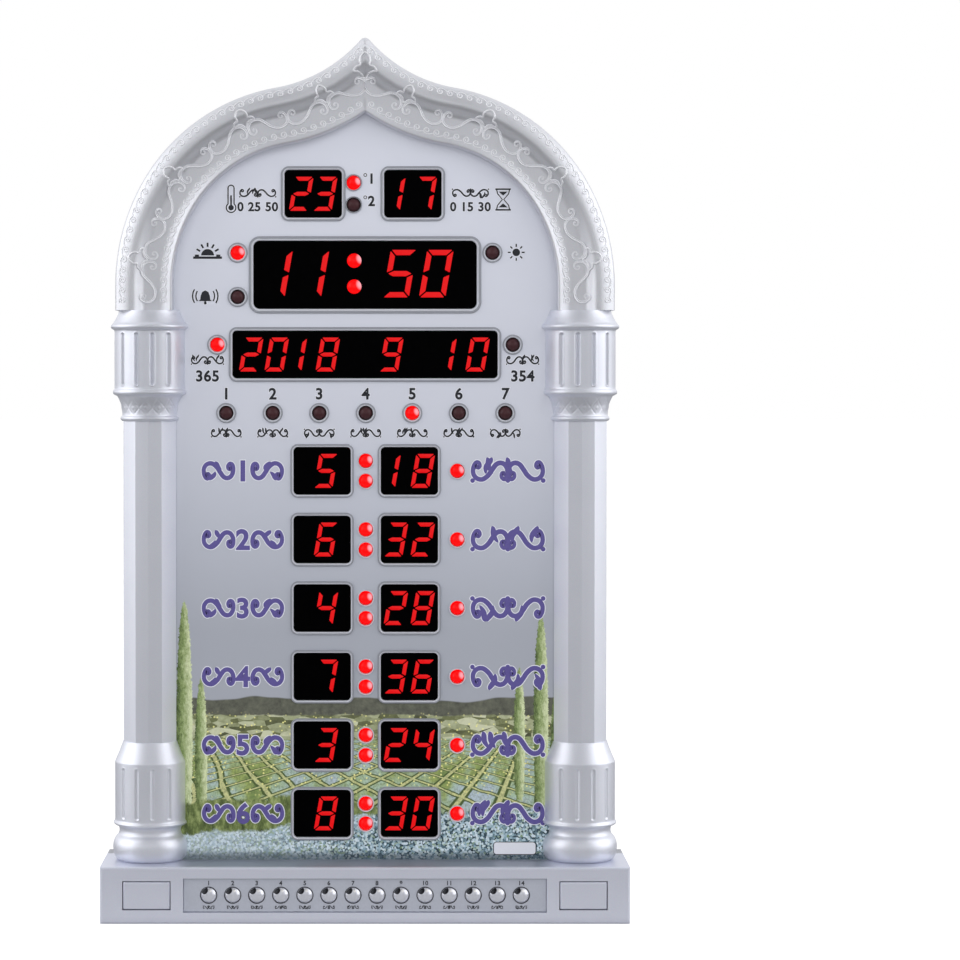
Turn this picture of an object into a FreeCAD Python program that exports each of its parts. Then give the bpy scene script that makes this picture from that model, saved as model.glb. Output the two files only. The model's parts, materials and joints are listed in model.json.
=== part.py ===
"""Azan clock: an ogee arch on two columns and a plinth, round a dial of LED displays.

Millimetres. +Z is up and the front faces -Y. The origin is at the middle of the base, on the
surface that the clock stands on. Every size is a cell of the sheet "Sizes".
"""

import FreeCAD, Part
import math
import os

import Sketcher

os.makedirs("parts", exist_ok=True)
doc = FreeCAD.newDocument("azan_clock")
vector = FreeCAD.Vector
ALONG_Y = FreeCAD.Rotation(vector(1, 0, 0), -90)

# ---------------------------------------------------------------- driving dimensions

SIZES = {
    # case
    "cover_depth": 10.5,
    "case_wall": 2.2,
    "rear_wall": 2.0,
    "fit_gap": 0.3,
    # plinth
    "plinth_height": 23.5,
    "plinth_end": 9.55,
    "plinth_overhang": 5.4,
    "plinth_front_wall": 3.0,
    "plinth_edge_round": 1.0,
    "cable_notch_width": 60.0,
    "cable_notch_depth": 11.0,
    # arch
    "spring_drop": 4.65,
    "foot_drop": 10.2,
    "shoulder_inset": 16.6,
    "shoulder_turn": 30.0,
    "crown_step": 7.6,
    "crown_turn": 80.0,
    "sweep_radius": 60.8,
    "arch_tip_round": 2.5,
    "arch_band": 24.0,
    "arch_relief": 8.5,
    "arch_front_wall": 3.8,
    "cove_outer_margin": 7.0,
    "cove_inner_margin": 6.0,
    "cove_depth": 1.6,
    # columns
    "column_inset": 14.0,
    "column_axis_setback": 2.5,
    "shaft_half_width": 10.95,
    "shaft_knee": 5.5,
    "shaft_ridge_reach": 11.2,
    "shaft_knee_reach": 10.0,
    "shaft_edge_reach": 3.5,
    "drum_radius": 14.5,
    "torus_height": 11.5,
    "torus_radius": 15.7,
    "torus_foot_radius": 13.0,
    "base_neck_radius": 13.6,
    "base_neck_height": 5.0,
    "base_bead_height": 1.7,
    "base_drum_height": 24.7,
    "base_cone_height": 8.5,
    "cone_end_radius": 11.4,
    "bead_reach": 0.8,
    "cap_ring_height": 2.1,
    "cap_neck_height": 8.7,
    "cap_neck_radius": 11.4,
    "cap_neck_top_radius": 13.4,
    "cap_bead_height": 2.5,
    "cap_drum_height": 24.9,
    "collar_reach": 1.6,
    "collar_height": 2.1,
    "cap_cone_height": 5.8,
    "cap_cone_top_radius": 12.9,
    "flute_radius": 0.75,
    "flute_margin": 1.5,
    "flute_turn": 26.0,
    # dial
    "dial_setback": 19.0,
    "dial_margin": 3.0,
    "overlay_thickness": 0.4,
    "panel_thickness": 2.0,
    "standoff_radius": 3.0,
    "standoff_inset": 7.0,
    "standoff_rise": 23.0,
    "standoff_drop": 13.4,
    # display windows
    "window_gap": 0.25,
    "window_corner": 1.6,
    "time_window_corner": 2.5,
    "bezel_relief": 0.8,
    "bezel_border": 1.5,
    "row_bezel_border": 1.25,
    "time_bezel_border": 1.9,
    "module_recess": 0.2,
    "module_depth": 8.0,
    "digit_side_margin": 1.0,
    "digit_top_margin": 2.55,
    "time_digit_top_margin": 3.95,
    "time_window_width": 92.6,
    "date_window_width": 110.1,
    # layout of the dial
    "dial_axis": 0.3,
    "rows_foot_margin": 8.35,
    "row_gap": 6.76,
    "day_lamp_margin": 9.0,
    "time_date_gap": 6.15,
    "top_gap": 6.7,
    "colon_side_gap": 1.85,
    "row_lamp_gap": 2.85,
    "unit_lamp_across": -4.75,
    "unit_lamp_gap": 0.25,
    "unit_mark_gap": 8.05,
    "noon_lamp_gap": 0.7,
    "calendar_lamp_gap": 0.85,
    # digits
    "segment_relief": 0.15,
    "digit_slant": 10.0,
    "segment_gap": 0.15,
    "small_digit_height": 14.3,
    "small_digit_width": 8.0,
    "small_segment_width": 1.8,
    "top_digit_pitch": 10.0,
    "row_digit_pitch": 11.2,
    "date_digit_pitch": 10.65,
    "hour_digit_offset": 1.6,
    "time_digit_height": 20.0,
    "time_digit_width": 11.2,
    "time_segment_width": 2.4,
    "time_digit_pitch": 15.2,
    "time_digit_rise": 0.5,
    "time_hours_offset": -25.3,
    "time_minutes_offset": 22.1,
    "date_year_margin": 23.55,
    "date_month_offset": 11.0,
    "date_day_margin": 13.45,
    # lamps
    "lamp_radius": 2.8,
    "lamp_proud": 1.6,
    "lamp_ring_width": 1.2,
    "narrow_ring_width": 0.4,
    "lamp_ring_relief": 0.8,
    "lamp_gap": 0.2,
    "time_colon_radius": 3.0,
    "time_colon_offset": -4.5,
    "time_colon_rise": 5.4,
    "row_colon_rise": 4.2,
    "unit_lamp_rise": 4.6,
    "noon_lamp_rise": 9.2,
    "calendar_lamp_rise": 4.1,
    "day_lamp_pitch": 19.4,
    # controls
    "strip_end": 10.46,
    "strip_height": 14.1,
    "strip_recess": 1.4,
    "strip_thickness": 1.0,
    "strip_ledge": 2.0,
    "button_pitch": 9.914,
    "button_radius": 3.05,
    "button_dome": 1.3,
    "button_flange_reach": 1.05,
    "button_flange": 0.8,
    "button_stem_radius": 1.7,
    "button_travel": 0.8,
    "plate_width": 19.3,
    "plate_height": 11.4,
    "plate_gap": 5.45,
    "plate_flange": 1.0,
    "plate_inset": 0.1,
    # boards
    "board_thickness": 1.6,
    "board_inset": 7.8,
    "board_foot_gap": 3.5,
    "key_board_height": 14.0,
    "key_board_setback": 10.5,
    "key_board_end": 3.9,
    "post_radius": 2.2,
    "post_gap": 1.2,
    "switch_side": 6.0,
    "switch_height": 3.5,
    "switch_entry": 0.5,
    "switch_slack": 0.7,
    # packages on the display board
    "controller_side": 14.0,
    "controller_thickness": 1.6,
    "controller_rise": 151.5,
    "crystal_width": 4.6,
    "crystal_height": 11.0,
    "crystal_thickness": 3.4,
    "crystal_gap": 4.7,
    "driver_width": 7.6,
    "driver_height": 10.0,
    "driver_thickness": 1.8,
    "driver_pitch": 22.0,
    "driver_drop": 53.2,
    "voice_chip_across": -34.0,
    "voice_chip_rise": 136.5,
    "capacitor_radius": 3.2,
    "capacitor_height": 7.0,
    "capacitor_offset": 22.0,
    "capacitor_pitch": 11.0,
    "receiver_width": 5.6,
    "receiver_height": 4.8,
    "receiver_depth": 5.0,
    "receiver_lens_radius": 2.2,
    "receiver_lens_reach": 1.5,
    "receiver_hole_margin": 1.8,
    "receiver_inset": 14.0,
    "receiver_rise": 7.0,
    # fasteners
    "case_screw_radius": 1.35,
    "case_screw_bite": 6.0,
    "case_screw_head_radius": 2.7,
    "case_screw_head": 1.8,
    "case_boss_radius": 3.6,
    "counterbore_depth": 2.5,
    "pilot_slack": 2.5,
    "screw_gap": 0.12,
    "shoulder_boss_turn": 48.0,
    "column_boss_inset": 16.0,
    "plinth_boss_inset": 12.8,
    "plinth_boss_web": 2.0,
    "plinth_boss_floor": 2.0,
    "board_screw_radius": 1.1,
    "board_screw_length": 5.0,
    "board_screw_head_radius": 2.3,
    "board_screw_head": 1.5,
    # back cover
    "keyhole_inset": 43.8,
    "keyhole_climb": 36.6,
    "keyhole_radius": 4.5,
    "keyhole_slot_radius": 2.2,
    "keyhole_rise": 10.0,
    "slot_width": 2.2,
    "grille_radius": 20.0,
    "grille_pitch": 5.0,
    "vent_pitch": 7.0,
    "vent_length": 22.0,
    "vent_drop": 25.2,
    # speaker
    "speaker_rise": 96.5,
    "speaker_radius": 25.0,
    "speaker_rim": 2.0,
    "speaker_land": 3.2,
    "speaker_depth": 8.5,
    "magnet_radius": 12.0,
    "magnet_seat": 1.0,
    "magnet_depth": 4.6,
    "magnet_clearance": 1.1,
    "basket_wall": 0.8,
    "cone_thickness": 0.5,
    # power jack
    "jack_inset": 22.8,
    "jack_rise": 36.5,
    "jack_flange_radius": 5.5,
    "jack_flange": 1.2,
    "jack_thread_radius": 3.9,
    "jack_end_wall": 2.0,
    "jack_bore_radius": 2.9,
    "jack_bore_depth": 10.5,
    "jack_pin_radius": 1.05,
    "jack_pin_recess": 1.0,
    "nut_radius": 6.2,
    "nut_height": 2.2,
    # battery bay
    "bay_across": 45.0,
    "bay_rise": 151.5,
    "cell_radius": 10.0,
    "cell_height": 3.2,
    "holder_wall": 2.0,
    "holder_floor": 1.6,
    "cap_reach": 3.2,
    "cap_flange": 1.2,
    "cap_neck_step": 2.0,
    "lug_reach": 1.4,
    "lug_width": 5.0,
    "lug_height": 0.7,
    "cap_turn": 60.0,
    "coin_slot_length": 16.0,
    "coin_slot_width": 1.8,
    "coin_slot_depth": 0.7,
    "bay_tube_wall": 1.4,
    # wiring
    "ribbon_width": 18.0,
    "ribbon_thickness": 0.9,
    "ribbon_across": 20.0,
    "ribbon_bend": 3.0,
    "header_height": 5.0,
    "header_depth": 3.0,
    "header_rise": 5.0,
    "lead_radius": 0.6,
    "lead_spread": 3.0,
}

BUTTON_NAMES = tuple(f"button_{number:02d}" for number in range(1, 15))
ROW_TIMES = (("5", "18"), ("6", "32"), ("4", "28"), ("7", "36"), ("3", "24"), ("8", "30"))
DAY_LAMPS = ("dark", "dark", "dark", "dark", "lit", "dark", "dark")

# How far a cutter runs past the faces that it opens.
OVERCUT = 1.0


class Size:
    """A length or angle that keeps both its value and its formula in the sheet."""

    def __init__(self, value, formula):
        self.value = value
        self.formula = formula

    def __add__(self, other):
        other = as_size(other)
        return Size(self.value + other.value, f"({self.formula} + {other.formula})")

    def __sub__(self, other):
        other = as_size(other)
        return Size(self.value - other.value, f"({self.formula} - {other.formula})")

    def __mul__(self, other):
        other = as_size(other)
        return Size(self.value * other.value, f"({self.formula} * {other.formula})")

    def __truediv__(self, other):
        other = as_size(other)
        return Size(self.value / other.value, f"({self.formula} / {other.formula})")

    def __radd__(self, other):
        return as_size(other) + self

    def __rsub__(self, other):
        return as_size(other) - self

    def __rmul__(self, other):
        return as_size(other) * self

    def __neg__(self):
        return Size(-self.value, f"(0 - {self.formula})")


def as_size(number):
    """A plain number as a Size."""
    if isinstance(number, Size):
        return number
    return Size(float(number), f"({float(number)})")


def cosine(angle):
    return Size(math.cos(math.radians(angle.value)), f"cos({angle.formula})")


def sine(angle):
    return Size(math.sin(math.radians(angle.value)), f"sin({angle.formula})")


def root(size):
    return Size(math.sqrt(size.value), f"sqrt({size.formula})")


def make_sheet():
    """The sheet of driving dimensions, and a Size for each of its cells."""
    sheet = doc.addObject("Spreadsheet::Sheet", "Sizes")
    for row, (name, value) in enumerate(SIZES.items(), start=1):
        sheet.set(f"A{row}", name)
        sheet.set(f"B{row}", str(value))
        sheet.setAlias(f"B{row}", name)
    doc.recompute()
    return {name: Size(float(sheet.get(name)), f"Sizes.{name}") for name in SIZES}


size = make_sheet()

# ---------------------------------------------------------------- planes that pieces share

board_depth = size["module_recess"] + size["module_depth"] + size["board_thickness"]
speaker_space = size["magnet_clearance"] + size["magnet_depth"] + size["speaker_depth"]
case_depth = size["dial_setback"] + board_depth + speaker_space + size["rear_wall"]
front = -case_depth / 2
rear = case_depth / 2
split = rear - size["cover_depth"]
cover_floor = rear - size["rear_wall"]
dial_face = front + size["dial_setback"]
overlay_back = dial_face + size["overlay_thickness"]
panel_back = overlay_back + size["panel_thickness"]
arch_front = dial_face - size["arch_relief"]
module_face = dial_face + size["module_recess"]
board_front = module_face + size["module_depth"]
board_back = board_front + size["board_thickness"]
column_axis = dial_face + size["column_axis_setback"]
strip_face = front + size["strip_recess"]
strip_back = strip_face + size["strip_thickness"]
plinth_wall_back = front + size["plinth_front_wall"]
key_board_front = front + size["key_board_setback"]
key_board_back = key_board_front + size["board_thickness"]
switch_front = key_board_front - size["switch_height"]

# ---------------------------------------------------------------- widths, from the buttons outwards

strip_width = (len(BUTTON_NAMES) - 1) * size["button_pitch"] + 2 * size["strip_end"]
plate_across = strip_width / 2 + size["plate_gap"] + size["plate_width"] / 2
plinth_half_width = plate_across + size["plate_width"] / 2 + size["plinth_end"]
arch_half_width = plinth_half_width - size["plinth_overhang"]
column_centre = arch_half_width - size["column_inset"]
column_side = column_centre + size["shaft_half_width"]
dial_inset = size["arch_band"] - size["dial_margin"]
dial_half_width = arch_half_width - dial_inset
rebate_half_width = dial_half_width + size["fit_gap"]
board_half_width = dial_half_width - size["board_inset"]
standoff_across = board_half_width - size["standoff_inset"]
post_across = strip_width / 2 + size["post_gap"]
plinth_boss_across = strip_width / 2 - size["plinth_boss_inset"]
keyhole_across = arch_half_width - size["keyhole_inset"]
jack_across = size["jack_inset"] - dial_half_width
jack_front = rear - size["jack_bore_depth"] - size["jack_end_wall"]

# ---------------------------------------------------------------- heights, from the base upwards

plinth_height = size["plinth_height"]
control_height = plinth_height / 2
window_height = size["small_digit_height"] + 2 * size["digit_top_margin"]
window_width = 2 * size["row_digit_pitch"] + size["digit_side_margin"]
time_window_height = size["time_digit_height"] + 2 * size["time_digit_top_margin"]
ring_radius = size["lamp_radius"] + size["lamp_gap"] + size["lamp_ring_width"]
narrow_ring_radius = size["lamp_radius"] + size["lamp_gap"] + size["narrow_ring_width"]
row_reach = window_height / 2 + size["row_bezel_border"]
row_pitch = 2 * row_reach + size["row_gap"]
bottom_row_height = plinth_height + size["rows_foot_margin"] + row_reach
top_row_height = bottom_row_height + (len(ROW_TIMES) - 1) * row_pitch
day_lamp_height = top_row_height + row_reach + size["day_lamp_margin"] + ring_radius
date_reach = window_height / 2 + size["bezel_border"]
date_height = day_lamp_height + ring_radius + size["day_lamp_margin"] + date_reach
time_reach = time_window_height / 2 + size["time_bezel_border"]
time_height = date_height + date_reach + size["time_date_gap"] + time_reach
top_windows_height = time_height + time_reach + size["top_gap"] + date_reach
arch_spring_height = time_height - size["spring_drop"]
arch_foot_height = arch_spring_height - size["foot_drop"]
torus_top = plinth_height + size["torus_height"]
base_drum_bottom = torus_top + size["base_neck_height"]
base_drum_top = base_drum_bottom + size["base_drum_height"]
shaft_bottom = base_drum_top + size["base_cone_height"]
cap_drum_top = arch_foot_height - size["cap_cone_height"] - size["collar_height"]
cap_drum_bottom = cap_drum_top - size["cap_drum_height"]
cap_neck_top = cap_drum_bottom - size["cap_bead_height"]
shaft_top = cap_neck_top - size["cap_neck_height"] - size["cap_ring_height"]
board_bottom = plinth_height + size["board_foot_gap"]
keyhole_height = arch_spring_height + size["keyhole_climb"]
vent_height = arch_foot_height - size["vent_drop"]
speaker_height = plinth_height + size["speaker_rise"]
jack_height = plinth_height + size["jack_rise"]
bay_height = plinth_height + size["bay_rise"]
cap_radius = size["cell_radius"] + size["cap_reach"]
cap_neck_radius = cap_radius - size["cap_neck_step"]
lug_radius = cap_neck_radius + size["lug_reach"]
receiver_place = (standoff_across - size["receiver_inset"], board_bottom + size["receiver_rise"])

# ---------------------------------------------------------------- places across the dial

row_border = size["row_bezel_border"]
colon_clearance = narrow_ring_radius + size["colon_side_gap"] + row_border + window_width / 2
hour_across = size["dial_axis"] - colon_clearance
minute_across = size["dial_axis"] + colon_clearance
row_lamp_across = minute_across + window_width / 2 + row_border + size["row_lamp_gap"] + ring_radius
top_window_reach = window_width / 2 + size["bezel_border"]
temperature_across = size["unit_lamp_across"] - narrow_ring_radius - size["unit_lamp_gap"] - top_window_reach
countdown_across = size["unit_lamp_across"] + narrow_ring_radius + size["unit_mark_gap"] + top_window_reach
time_edge = size["time_window_width"] / 2 + size["time_bezel_border"]
noon_lamp_across = time_edge + size["noon_lamp_gap"] + ring_radius
date_edge = size["date_window_width"] / 2 + size["bezel_border"]
calendar_lamp_across = date_edge + size["calendar_lamp_gap"] + ring_radius


# ---------------------------------------------------------------- document helpers


def bind(item, **formulas):
    """Bind properties of an object to sizes; Placement parts are named at_x, at_y and at_z."""
    places = {"at_x": "Placement.Base.x", "at_y": "Placement.Base.y", "at_z": "Placement.Base.z"}
    for name, value in formulas.items():
        item.setExpression(places.get(name, name), as_size(value).formula)


def box(name, across, deep, high):
    """A Part box from its (low, high) pair along X, Y and Z."""
    item = doc.addObject("Part::Box", name)
    low_x, low_y, low_z = as_size(across[0]), as_size(deep[0]), as_size(high[0])
    bind(item, at_x=low_x, at_y=low_y, at_z=low_z)
    bind(item, Length=across[1] - low_x, Width=deep[1] - low_y, Height=high[1] - low_z)
    return item


def rod(name, x, z, deep, radius):
    """A Part cylinder that runs along Y between the two depths."""
    item = doc.addObject("Part::Cylinder", name)
    item.Placement = FreeCAD.Placement(vector(0, 0, 0), ALONG_Y)
    bind(item, at_x=x, at_y=deep[0], at_z=z, Radius=radius, Height=deep[1] - deep[0])
    return item


def span(middle, width):
    """The (low, high) pair of a width about its middle."""
    return middle - width / 2, middle + width / 2


def deeper(deep):
    """A (low, high) pair of depths run past at both ends, for a cutter."""
    return deep[0] - OVERCUT, deep[1] + OVERCUT


def fuse(name, pieces):
    item = doc.addObject("Part::MultiFuse", name)
    item.Shapes = pieces
    return item


def cut(name, base, tools):
    """The base less every tool."""
    item = doc.addObject("Part::Cut", name)
    item.Base = base
    item.Tool = tools[0] if len(tools) == 1 else fuse(f"{name}_tools", tools)
    return item


def group(name, pieces):
    """Several separate solids as one sub-part."""
    item = doc.addObject("Part::Compound", name)
    item.Links = pieces
    return item


def repeat(name, master, places):
    """Copies of a master at each (x, z) place, as one object of separate solids."""
    doc.recompute()
    item = doc.addObject("Part::Feature", name)
    item.Shape = Part.makeCompound([master.Shape.translated(vector(x.value, 0, z.value)) for x, z in places])
    return item


def body(name):
    item = doc.addObject("PartDesign::Body", name)
    item.Label = name
    return item


def sketch_on(owner, role, name, offset=0):
    """A sketch on one of the body's own planes, moved along the plane's normal."""
    plane = [f for f in owner.Origin.OriginFeatures if f.Role == role][0]
    sketch = owner.newObject("Sketcher::SketchObject", name)
    sketch.AttachmentSupport = [(plane, "")]
    sketch.MapMode = "FlatFace"
    sketch.setExpression("AttachmentOffset.Base.z", as_size(offset).formula)
    return sketch


def fix_coordinate(sketch, kind, axis, geometry, end, value):
    """Hold one coordinate of a sketch point at a size."""
    value = as_size(value)
    if abs(value.value) < 1e-9:
        sketch.addConstraint(Sketcher.Constraint("PointOnObject", geometry, end, axis))
        return
    index = sketch.addConstraint(Sketcher.Constraint(kind, -1, 1, geometry, end, value.value))
    sketch.setExpression(f"Constraints[{index}]", value.formula)


def fix_point(sketch, geometry, end, point):
    fix_coordinate(sketch, "DistanceX", -2, geometry, end, point[0])
    fix_coordinate(sketch, "DistanceY", -1, geometry, end, point[1])


def fix_radius(sketch, geometry, radius):
    index = sketch.addConstraint(Sketcher.Constraint("Radius", geometry, radius.value))
    sketch.setExpression(f"Constraints[{index}]", radius.formula)


def arc_between(start, end, radius, turn):
    """The arc from start to end; turn is 1 for anticlockwise and -1 for clockwise."""
    chord = end - start
    half = chord.Length / 2
    normal = vector(-chord.y, chord.x, 0).normalize() * turn
    centre = (start + end) / 2 + normal * math.sqrt(max(radius**2 - half**2, 0))
    first, last = (start, end) if turn > 0 else (end, start)
    angles = [math.atan2(p.y - centre.y, p.x - centre.x) for p in (first, last)]
    circle = Part.Circle(centre, vector(0, 0, 1), radius)
    return Part.ArcOfCircle(circle, angles[0], angles[1])


def add_loop(sketch, points):
    """A closed outline. A point is (x, y), or (x, y, radius, turn) where an arc leads to it."""
    ends = []
    for start, end in zip(points[-1:] + points[:-1], points):
        first = vector(as_size(start[0]).value, as_size(start[1]).value, 0)
        last = vector(as_size(end[0]).value, as_size(end[1]).value, 0)
        if len(end) == 2:
            index = sketch.addGeometry(Part.LineSegment(first, last))
            ends.append((index, 1, 2))
            continue
        radius, turn = end[2], end[3]
        index = sketch.addGeometry(arc_between(first, last, radius.value, turn))
        ends.append((index, 1, 2) if turn > 0 else (index, 2, 1))
    for i, point in enumerate(points):
        edge, following = ends[i], ends[(i + 1) % len(ends)]
        sketch.addConstraint(Sketcher.Constraint("Coincident", edge[0], edge[2], following[0], following[1]))
        fix_point(sketch, edge[0], edge[2], point)
        if len(point) > 2:
            fix_radius(sketch, edge[0], point[2])


def add_circle(sketch, point, radius):
    centre = vector(as_size(point[0]).value, as_size(point[1]).value, 0)
    index = sketch.addGeometry(Part.Circle(centre, vector(0, 0, 1), radius.value))
    fix_point(sketch, index, 3, point)
    fix_radius(sketch, index, radius)


def feature(owner, kind, name, sketch, **settings):
    """A sketch-based feature; Length and the like are bound where they are a Size."""
    item = owner.newObject(f"PartDesign::{kind}", name)
    item.Profile = sketch
    sketch.Visibility = False
    for key, value in settings.items():
        if isinstance(value, Size):
            item.setExpression(key, value.formula)
        else:
            setattr(item, key, value)
    return item


def plate(owner, name, loops, deep):
    """Pad closed loops, drawn in X and Z, between two depths."""
    sketch = sketch_on(owner, "XZ_Plane", f"{name}_sketch", -deep[1])
    for loop in loops:
        add_loop(sketch, loop)
    feature(owner, "Pad", name, sketch, Length=deep[1] - deep[0])


def hollow(owner, name, loops, circles, deep):
    """Pocket closed loops, drawn in X and Z, between two depths, leaving the circles standing."""
    sketch = sketch_on(owner, "XZ_Plane", f"{name}_sketch", -deep[0])
    for loop in loops:
        add_loop(sketch, loop)
    for point, radius in circles:
        add_circle(sketch, point, radius)
    feature(owner, "Pocket", name, sketch, Length=deep[1] - deep[0])


def turned(name, points, x, z):
    """A body turned about an axis along Y, from (radius, y) points."""
    owner = body(name)
    sketch = sketch_on(owner, "XY_Plane", f"{name}_profile")
    add_loop(sketch, points)
    feature(owner, "Revolution", f"{name}_turned", sketch, ReferenceAxis=(sketch, ["V_Axis"]), Angle=360.0)
    bind(owner, at_x=x, at_z=z)
    return owner


# ---------------------------------------------------------------- outlines


def crown_centre():
    """Centre of the crown arc, on the line where it leaves the shoulder arc."""
    step = size["crown_step"]
    turn = size["shoulder_turn"]
    return size["shoulder_inset"] + step * cosine(turn), arch_spring_height + step * sine(turn)


def ogee(inset, foot):
    """Right half of the arch's outline from its foot up to the tip, moved inwards by the inset."""
    centre_x = size["shoulder_inset"]
    centre_z = arch_spring_height
    shoulder = arch_half_width - centre_x
    crown = shoulder - size["crown_step"]
    sweep = size["sweep_radius"]
    turn = size["shoulder_turn"]
    lean = size["crown_turn"]
    crown_x, crown_z = crown_centre()
    sweep_x = crown_x + (crown + sweep) * cosine(lean)
    sweep_z = crown_z + (crown + sweep) * sine(lean)
    outer = arch_half_width - inset
    crown_reach = crown - inset
    reach = sweep + inset
    return [
        (outer, foot),
        (outer, centre_z),
        (crown_x + crown_reach * cosine(turn), crown_z + crown_reach * sine(turn), shoulder - inset, 1),
        (crown_x + crown_reach * cosine(lean), crown_z + crown_reach * sine(lean), crown_reach, 1),
        (as_size(0), sweep_z - root(reach * reach - sweep_x * sweep_x), reach, -1),
    ]


def mirrored(points):
    """The same outline on the other side, walked back down from its last point."""
    back = []
    for point, after in zip(reversed(points[:-1]), reversed(points[1:])):
        arc = (after[2], after[3]) if len(after) > 2 else ()
        back.append((-point[0], point[1]) + arc)
    return back


def reversed_loop(points):
    """An open outline walked the other way."""
    back = [points[-1][:2]]
    for point, after in zip(reversed(points[:-1]), reversed(points[1:])):
        arc = (after[2], -after[3]) if len(after) > 2 else ()
        back.append(point[:2] + arc)
    return back


def whole_ogee(inset, foot):
    half = ogee(inset, foot)
    return half + mirrored(half)


def band(outer_inset, inner_inset, foot):
    """Closed outline of the arch's band between two insets."""
    return whole_ogee(outer_inset, foot) + reversed_loop(whole_ogee(inner_inset, foot))


def case_outline(inset):
    """Outline of plinth, columns and arch together."""
    side = plinth_half_width - inset
    shaft = column_side - inset
    half = [
        (side, inset),
        (side, plinth_height - inset),
        (shaft, plinth_height - inset),
        (shaft, arch_foot_height + inset),
    ] + ogee(inset, arch_foot_height + inset)
    return half + mirrored(half)


# ---------------------------------------------------------------- places of repeated pieces

arch_middle = size["arch_band"] / 2


def on_crown(inset, turn):
    """The point of the crown arc at an angle, moved inwards by the inset."""
    centre_x, centre_z = crown_centre()
    radius = arch_half_width - size["shoulder_inset"] - size["crown_step"] - inset
    return centre_x + radius * cosine(turn), centre_z + radius * sine(turn)


shoulder_boss = on_crown(arch_middle, size["shoulder_boss_turn"])
tip_boss = (as_size(0), ogee(arch_middle, arch_foot_height)[-1][1])
column_boss_x = (rebate_half_width + column_side) / 2
column_boss_heights = [shaft_bottom + size["column_boss_inset"], shaft_top - size["column_boss_inset"]]
plinth_boss = (plinth_boss_across, control_height)


def case_screw_places():
    """(x, z) of every screw that holds the back cover."""
    places = [tip_boss]
    for side in (-1, 1):
        places.append((side * shoulder_boss[0], shoulder_boss[1]))
        places.append((side * plinth_boss[0], plinth_boss[1]))
        places += [(side * column_boss_x, height) for height in column_boss_heights]
    return places


def standoff_places():
    """(x, z) of the dial panel's standoffs: a low, a middle and a high one on each side."""
    low = board_bottom + size["standoff_rise"]
    high = arch_spring_height - size["standoff_drop"]
    return [(side * standoff_across, height) for side in (-1, 1) for height in (low, (low + high) / 2, high)]


def row_heights():
    return [top_row_height - i * row_pitch for i in range(len(ROW_TIMES))]


def display_windows():
    """Name, middle, width, height, corner and bezel border of every display window."""
    corner = size["window_corner"]
    small = (window_width, window_height, corner, size["bezel_border"])
    row = (window_width, window_height, corner, row_border)
    date = (size["date_window_width"], window_height, corner, size["bezel_border"])
    time_corner = size["time_window_corner"]
    time = (size["time_window_width"], time_window_height, time_corner, size["time_bezel_border"])
    windows = [
        ("temperature", (temperature_across, top_windows_height)) + small,
        ("countdown", (countdown_across, top_windows_height)) + small,
        ("time", (as_size(0), time_height)) + time,
        ("date", (as_size(0), date_height)) + date,
    ]
    for i, height in enumerate(row_heights(), start=1):
        windows.append((f"hour_{i}", (hour_across, height)) + row)
        windows.append((f"minute_{i}", (minute_across, height)) + row)
    return windows


def wide_ring_lamps():
    """State and (x, z) place of the lamps with a wide ring."""
    rise = size["noon_lamp_rise"]
    calendar_height = date_height + size["calendar_lamp_rise"]
    lamps = [
        ("lit", (-noon_lamp_across, time_height + rise)),
        ("dark", (noon_lamp_across, time_height + rise)),
        ("dark", (-noon_lamp_across, time_height - rise)),
        ("lit", (-calendar_lamp_across, calendar_height)),
        ("dark", (calendar_lamp_across, calendar_height)),
    ]
    middle = (len(DAY_LAMPS) - 1) / 2
    for i, state in enumerate(DAY_LAMPS):
        x = size["dial_axis"] + (i - middle) * size["day_lamp_pitch"]
        lamps.append((state, (x, day_lamp_height)))
    lamps += [("lit", (row_lamp_across, height)) for height in row_heights()]
    return lamps


def narrow_ring_lamps():
    """State and (x, z) place of the colons' lamps and the two unit lamps."""
    unit = size["unit_lamp_across"]
    rise = size["unit_lamp_rise"]
    lamps = [("lit", (unit, top_windows_height + rise)), ("dark", (unit, top_windows_height - rise))]
    for height in row_heights():
        lamps += [("lit", (size["dial_axis"], height + side * size["row_colon_rise"])) for side in (-1, 1)]
    return lamps


def places_of(lamps, *states):
    return [place for state, place in lamps if state in states]


def button_places():
    middle = (len(BUTTON_NAMES) - 1) / 2
    return [(i - middle) * size["button_pitch"] for i in range(len(BUTTON_NAMES))]


dial_lamps = wide_ring_lamps() + narrow_ring_lamps()

# ---------------------------------------------------------------- case


def make_arch_frame():
    """Hollow arch moulding with a cove round its front and three screw bosses inside."""
    owner = body("arch_frame")
    foot = arch_foot_height
    wall = size["case_wall"]
    below = foot - OVERCUT
    rebate = dial_inset - size["fit_gap"]
    plate(owner, "arch_band_pad", [band(as_size(0), size["arch_band"], foot)], (arch_front, split))
    round_edges(owner, "arch_tip", size["arch_tip_round"], is_tip_edge)
    hollow(owner, "dial_rebate", [band(rebate, size["arch_band"] + OVERCUT, below)], [], (dial_face, split))
    bosses = [tip_boss, shoulder_boss, (-shoulder_boss[0], shoulder_boss[1])]
    hollow(
        owner,
        "arch_hollow",
        [band(wall, rebate - wall, foot + wall)],
        [(boss, size["case_boss_radius"]) for boss in bosses],
        (arch_front + size["arch_front_wall"], split),
    )
    cove = band(size["cove_outer_margin"], size["arch_band"] - size["cove_inner_margin"], below)
    hollow(owner, "arch_cove", [cove], [], (arch_front, arch_front + size["cove_depth"]))
    add_pilots(owner, bosses)
    return owner


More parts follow.
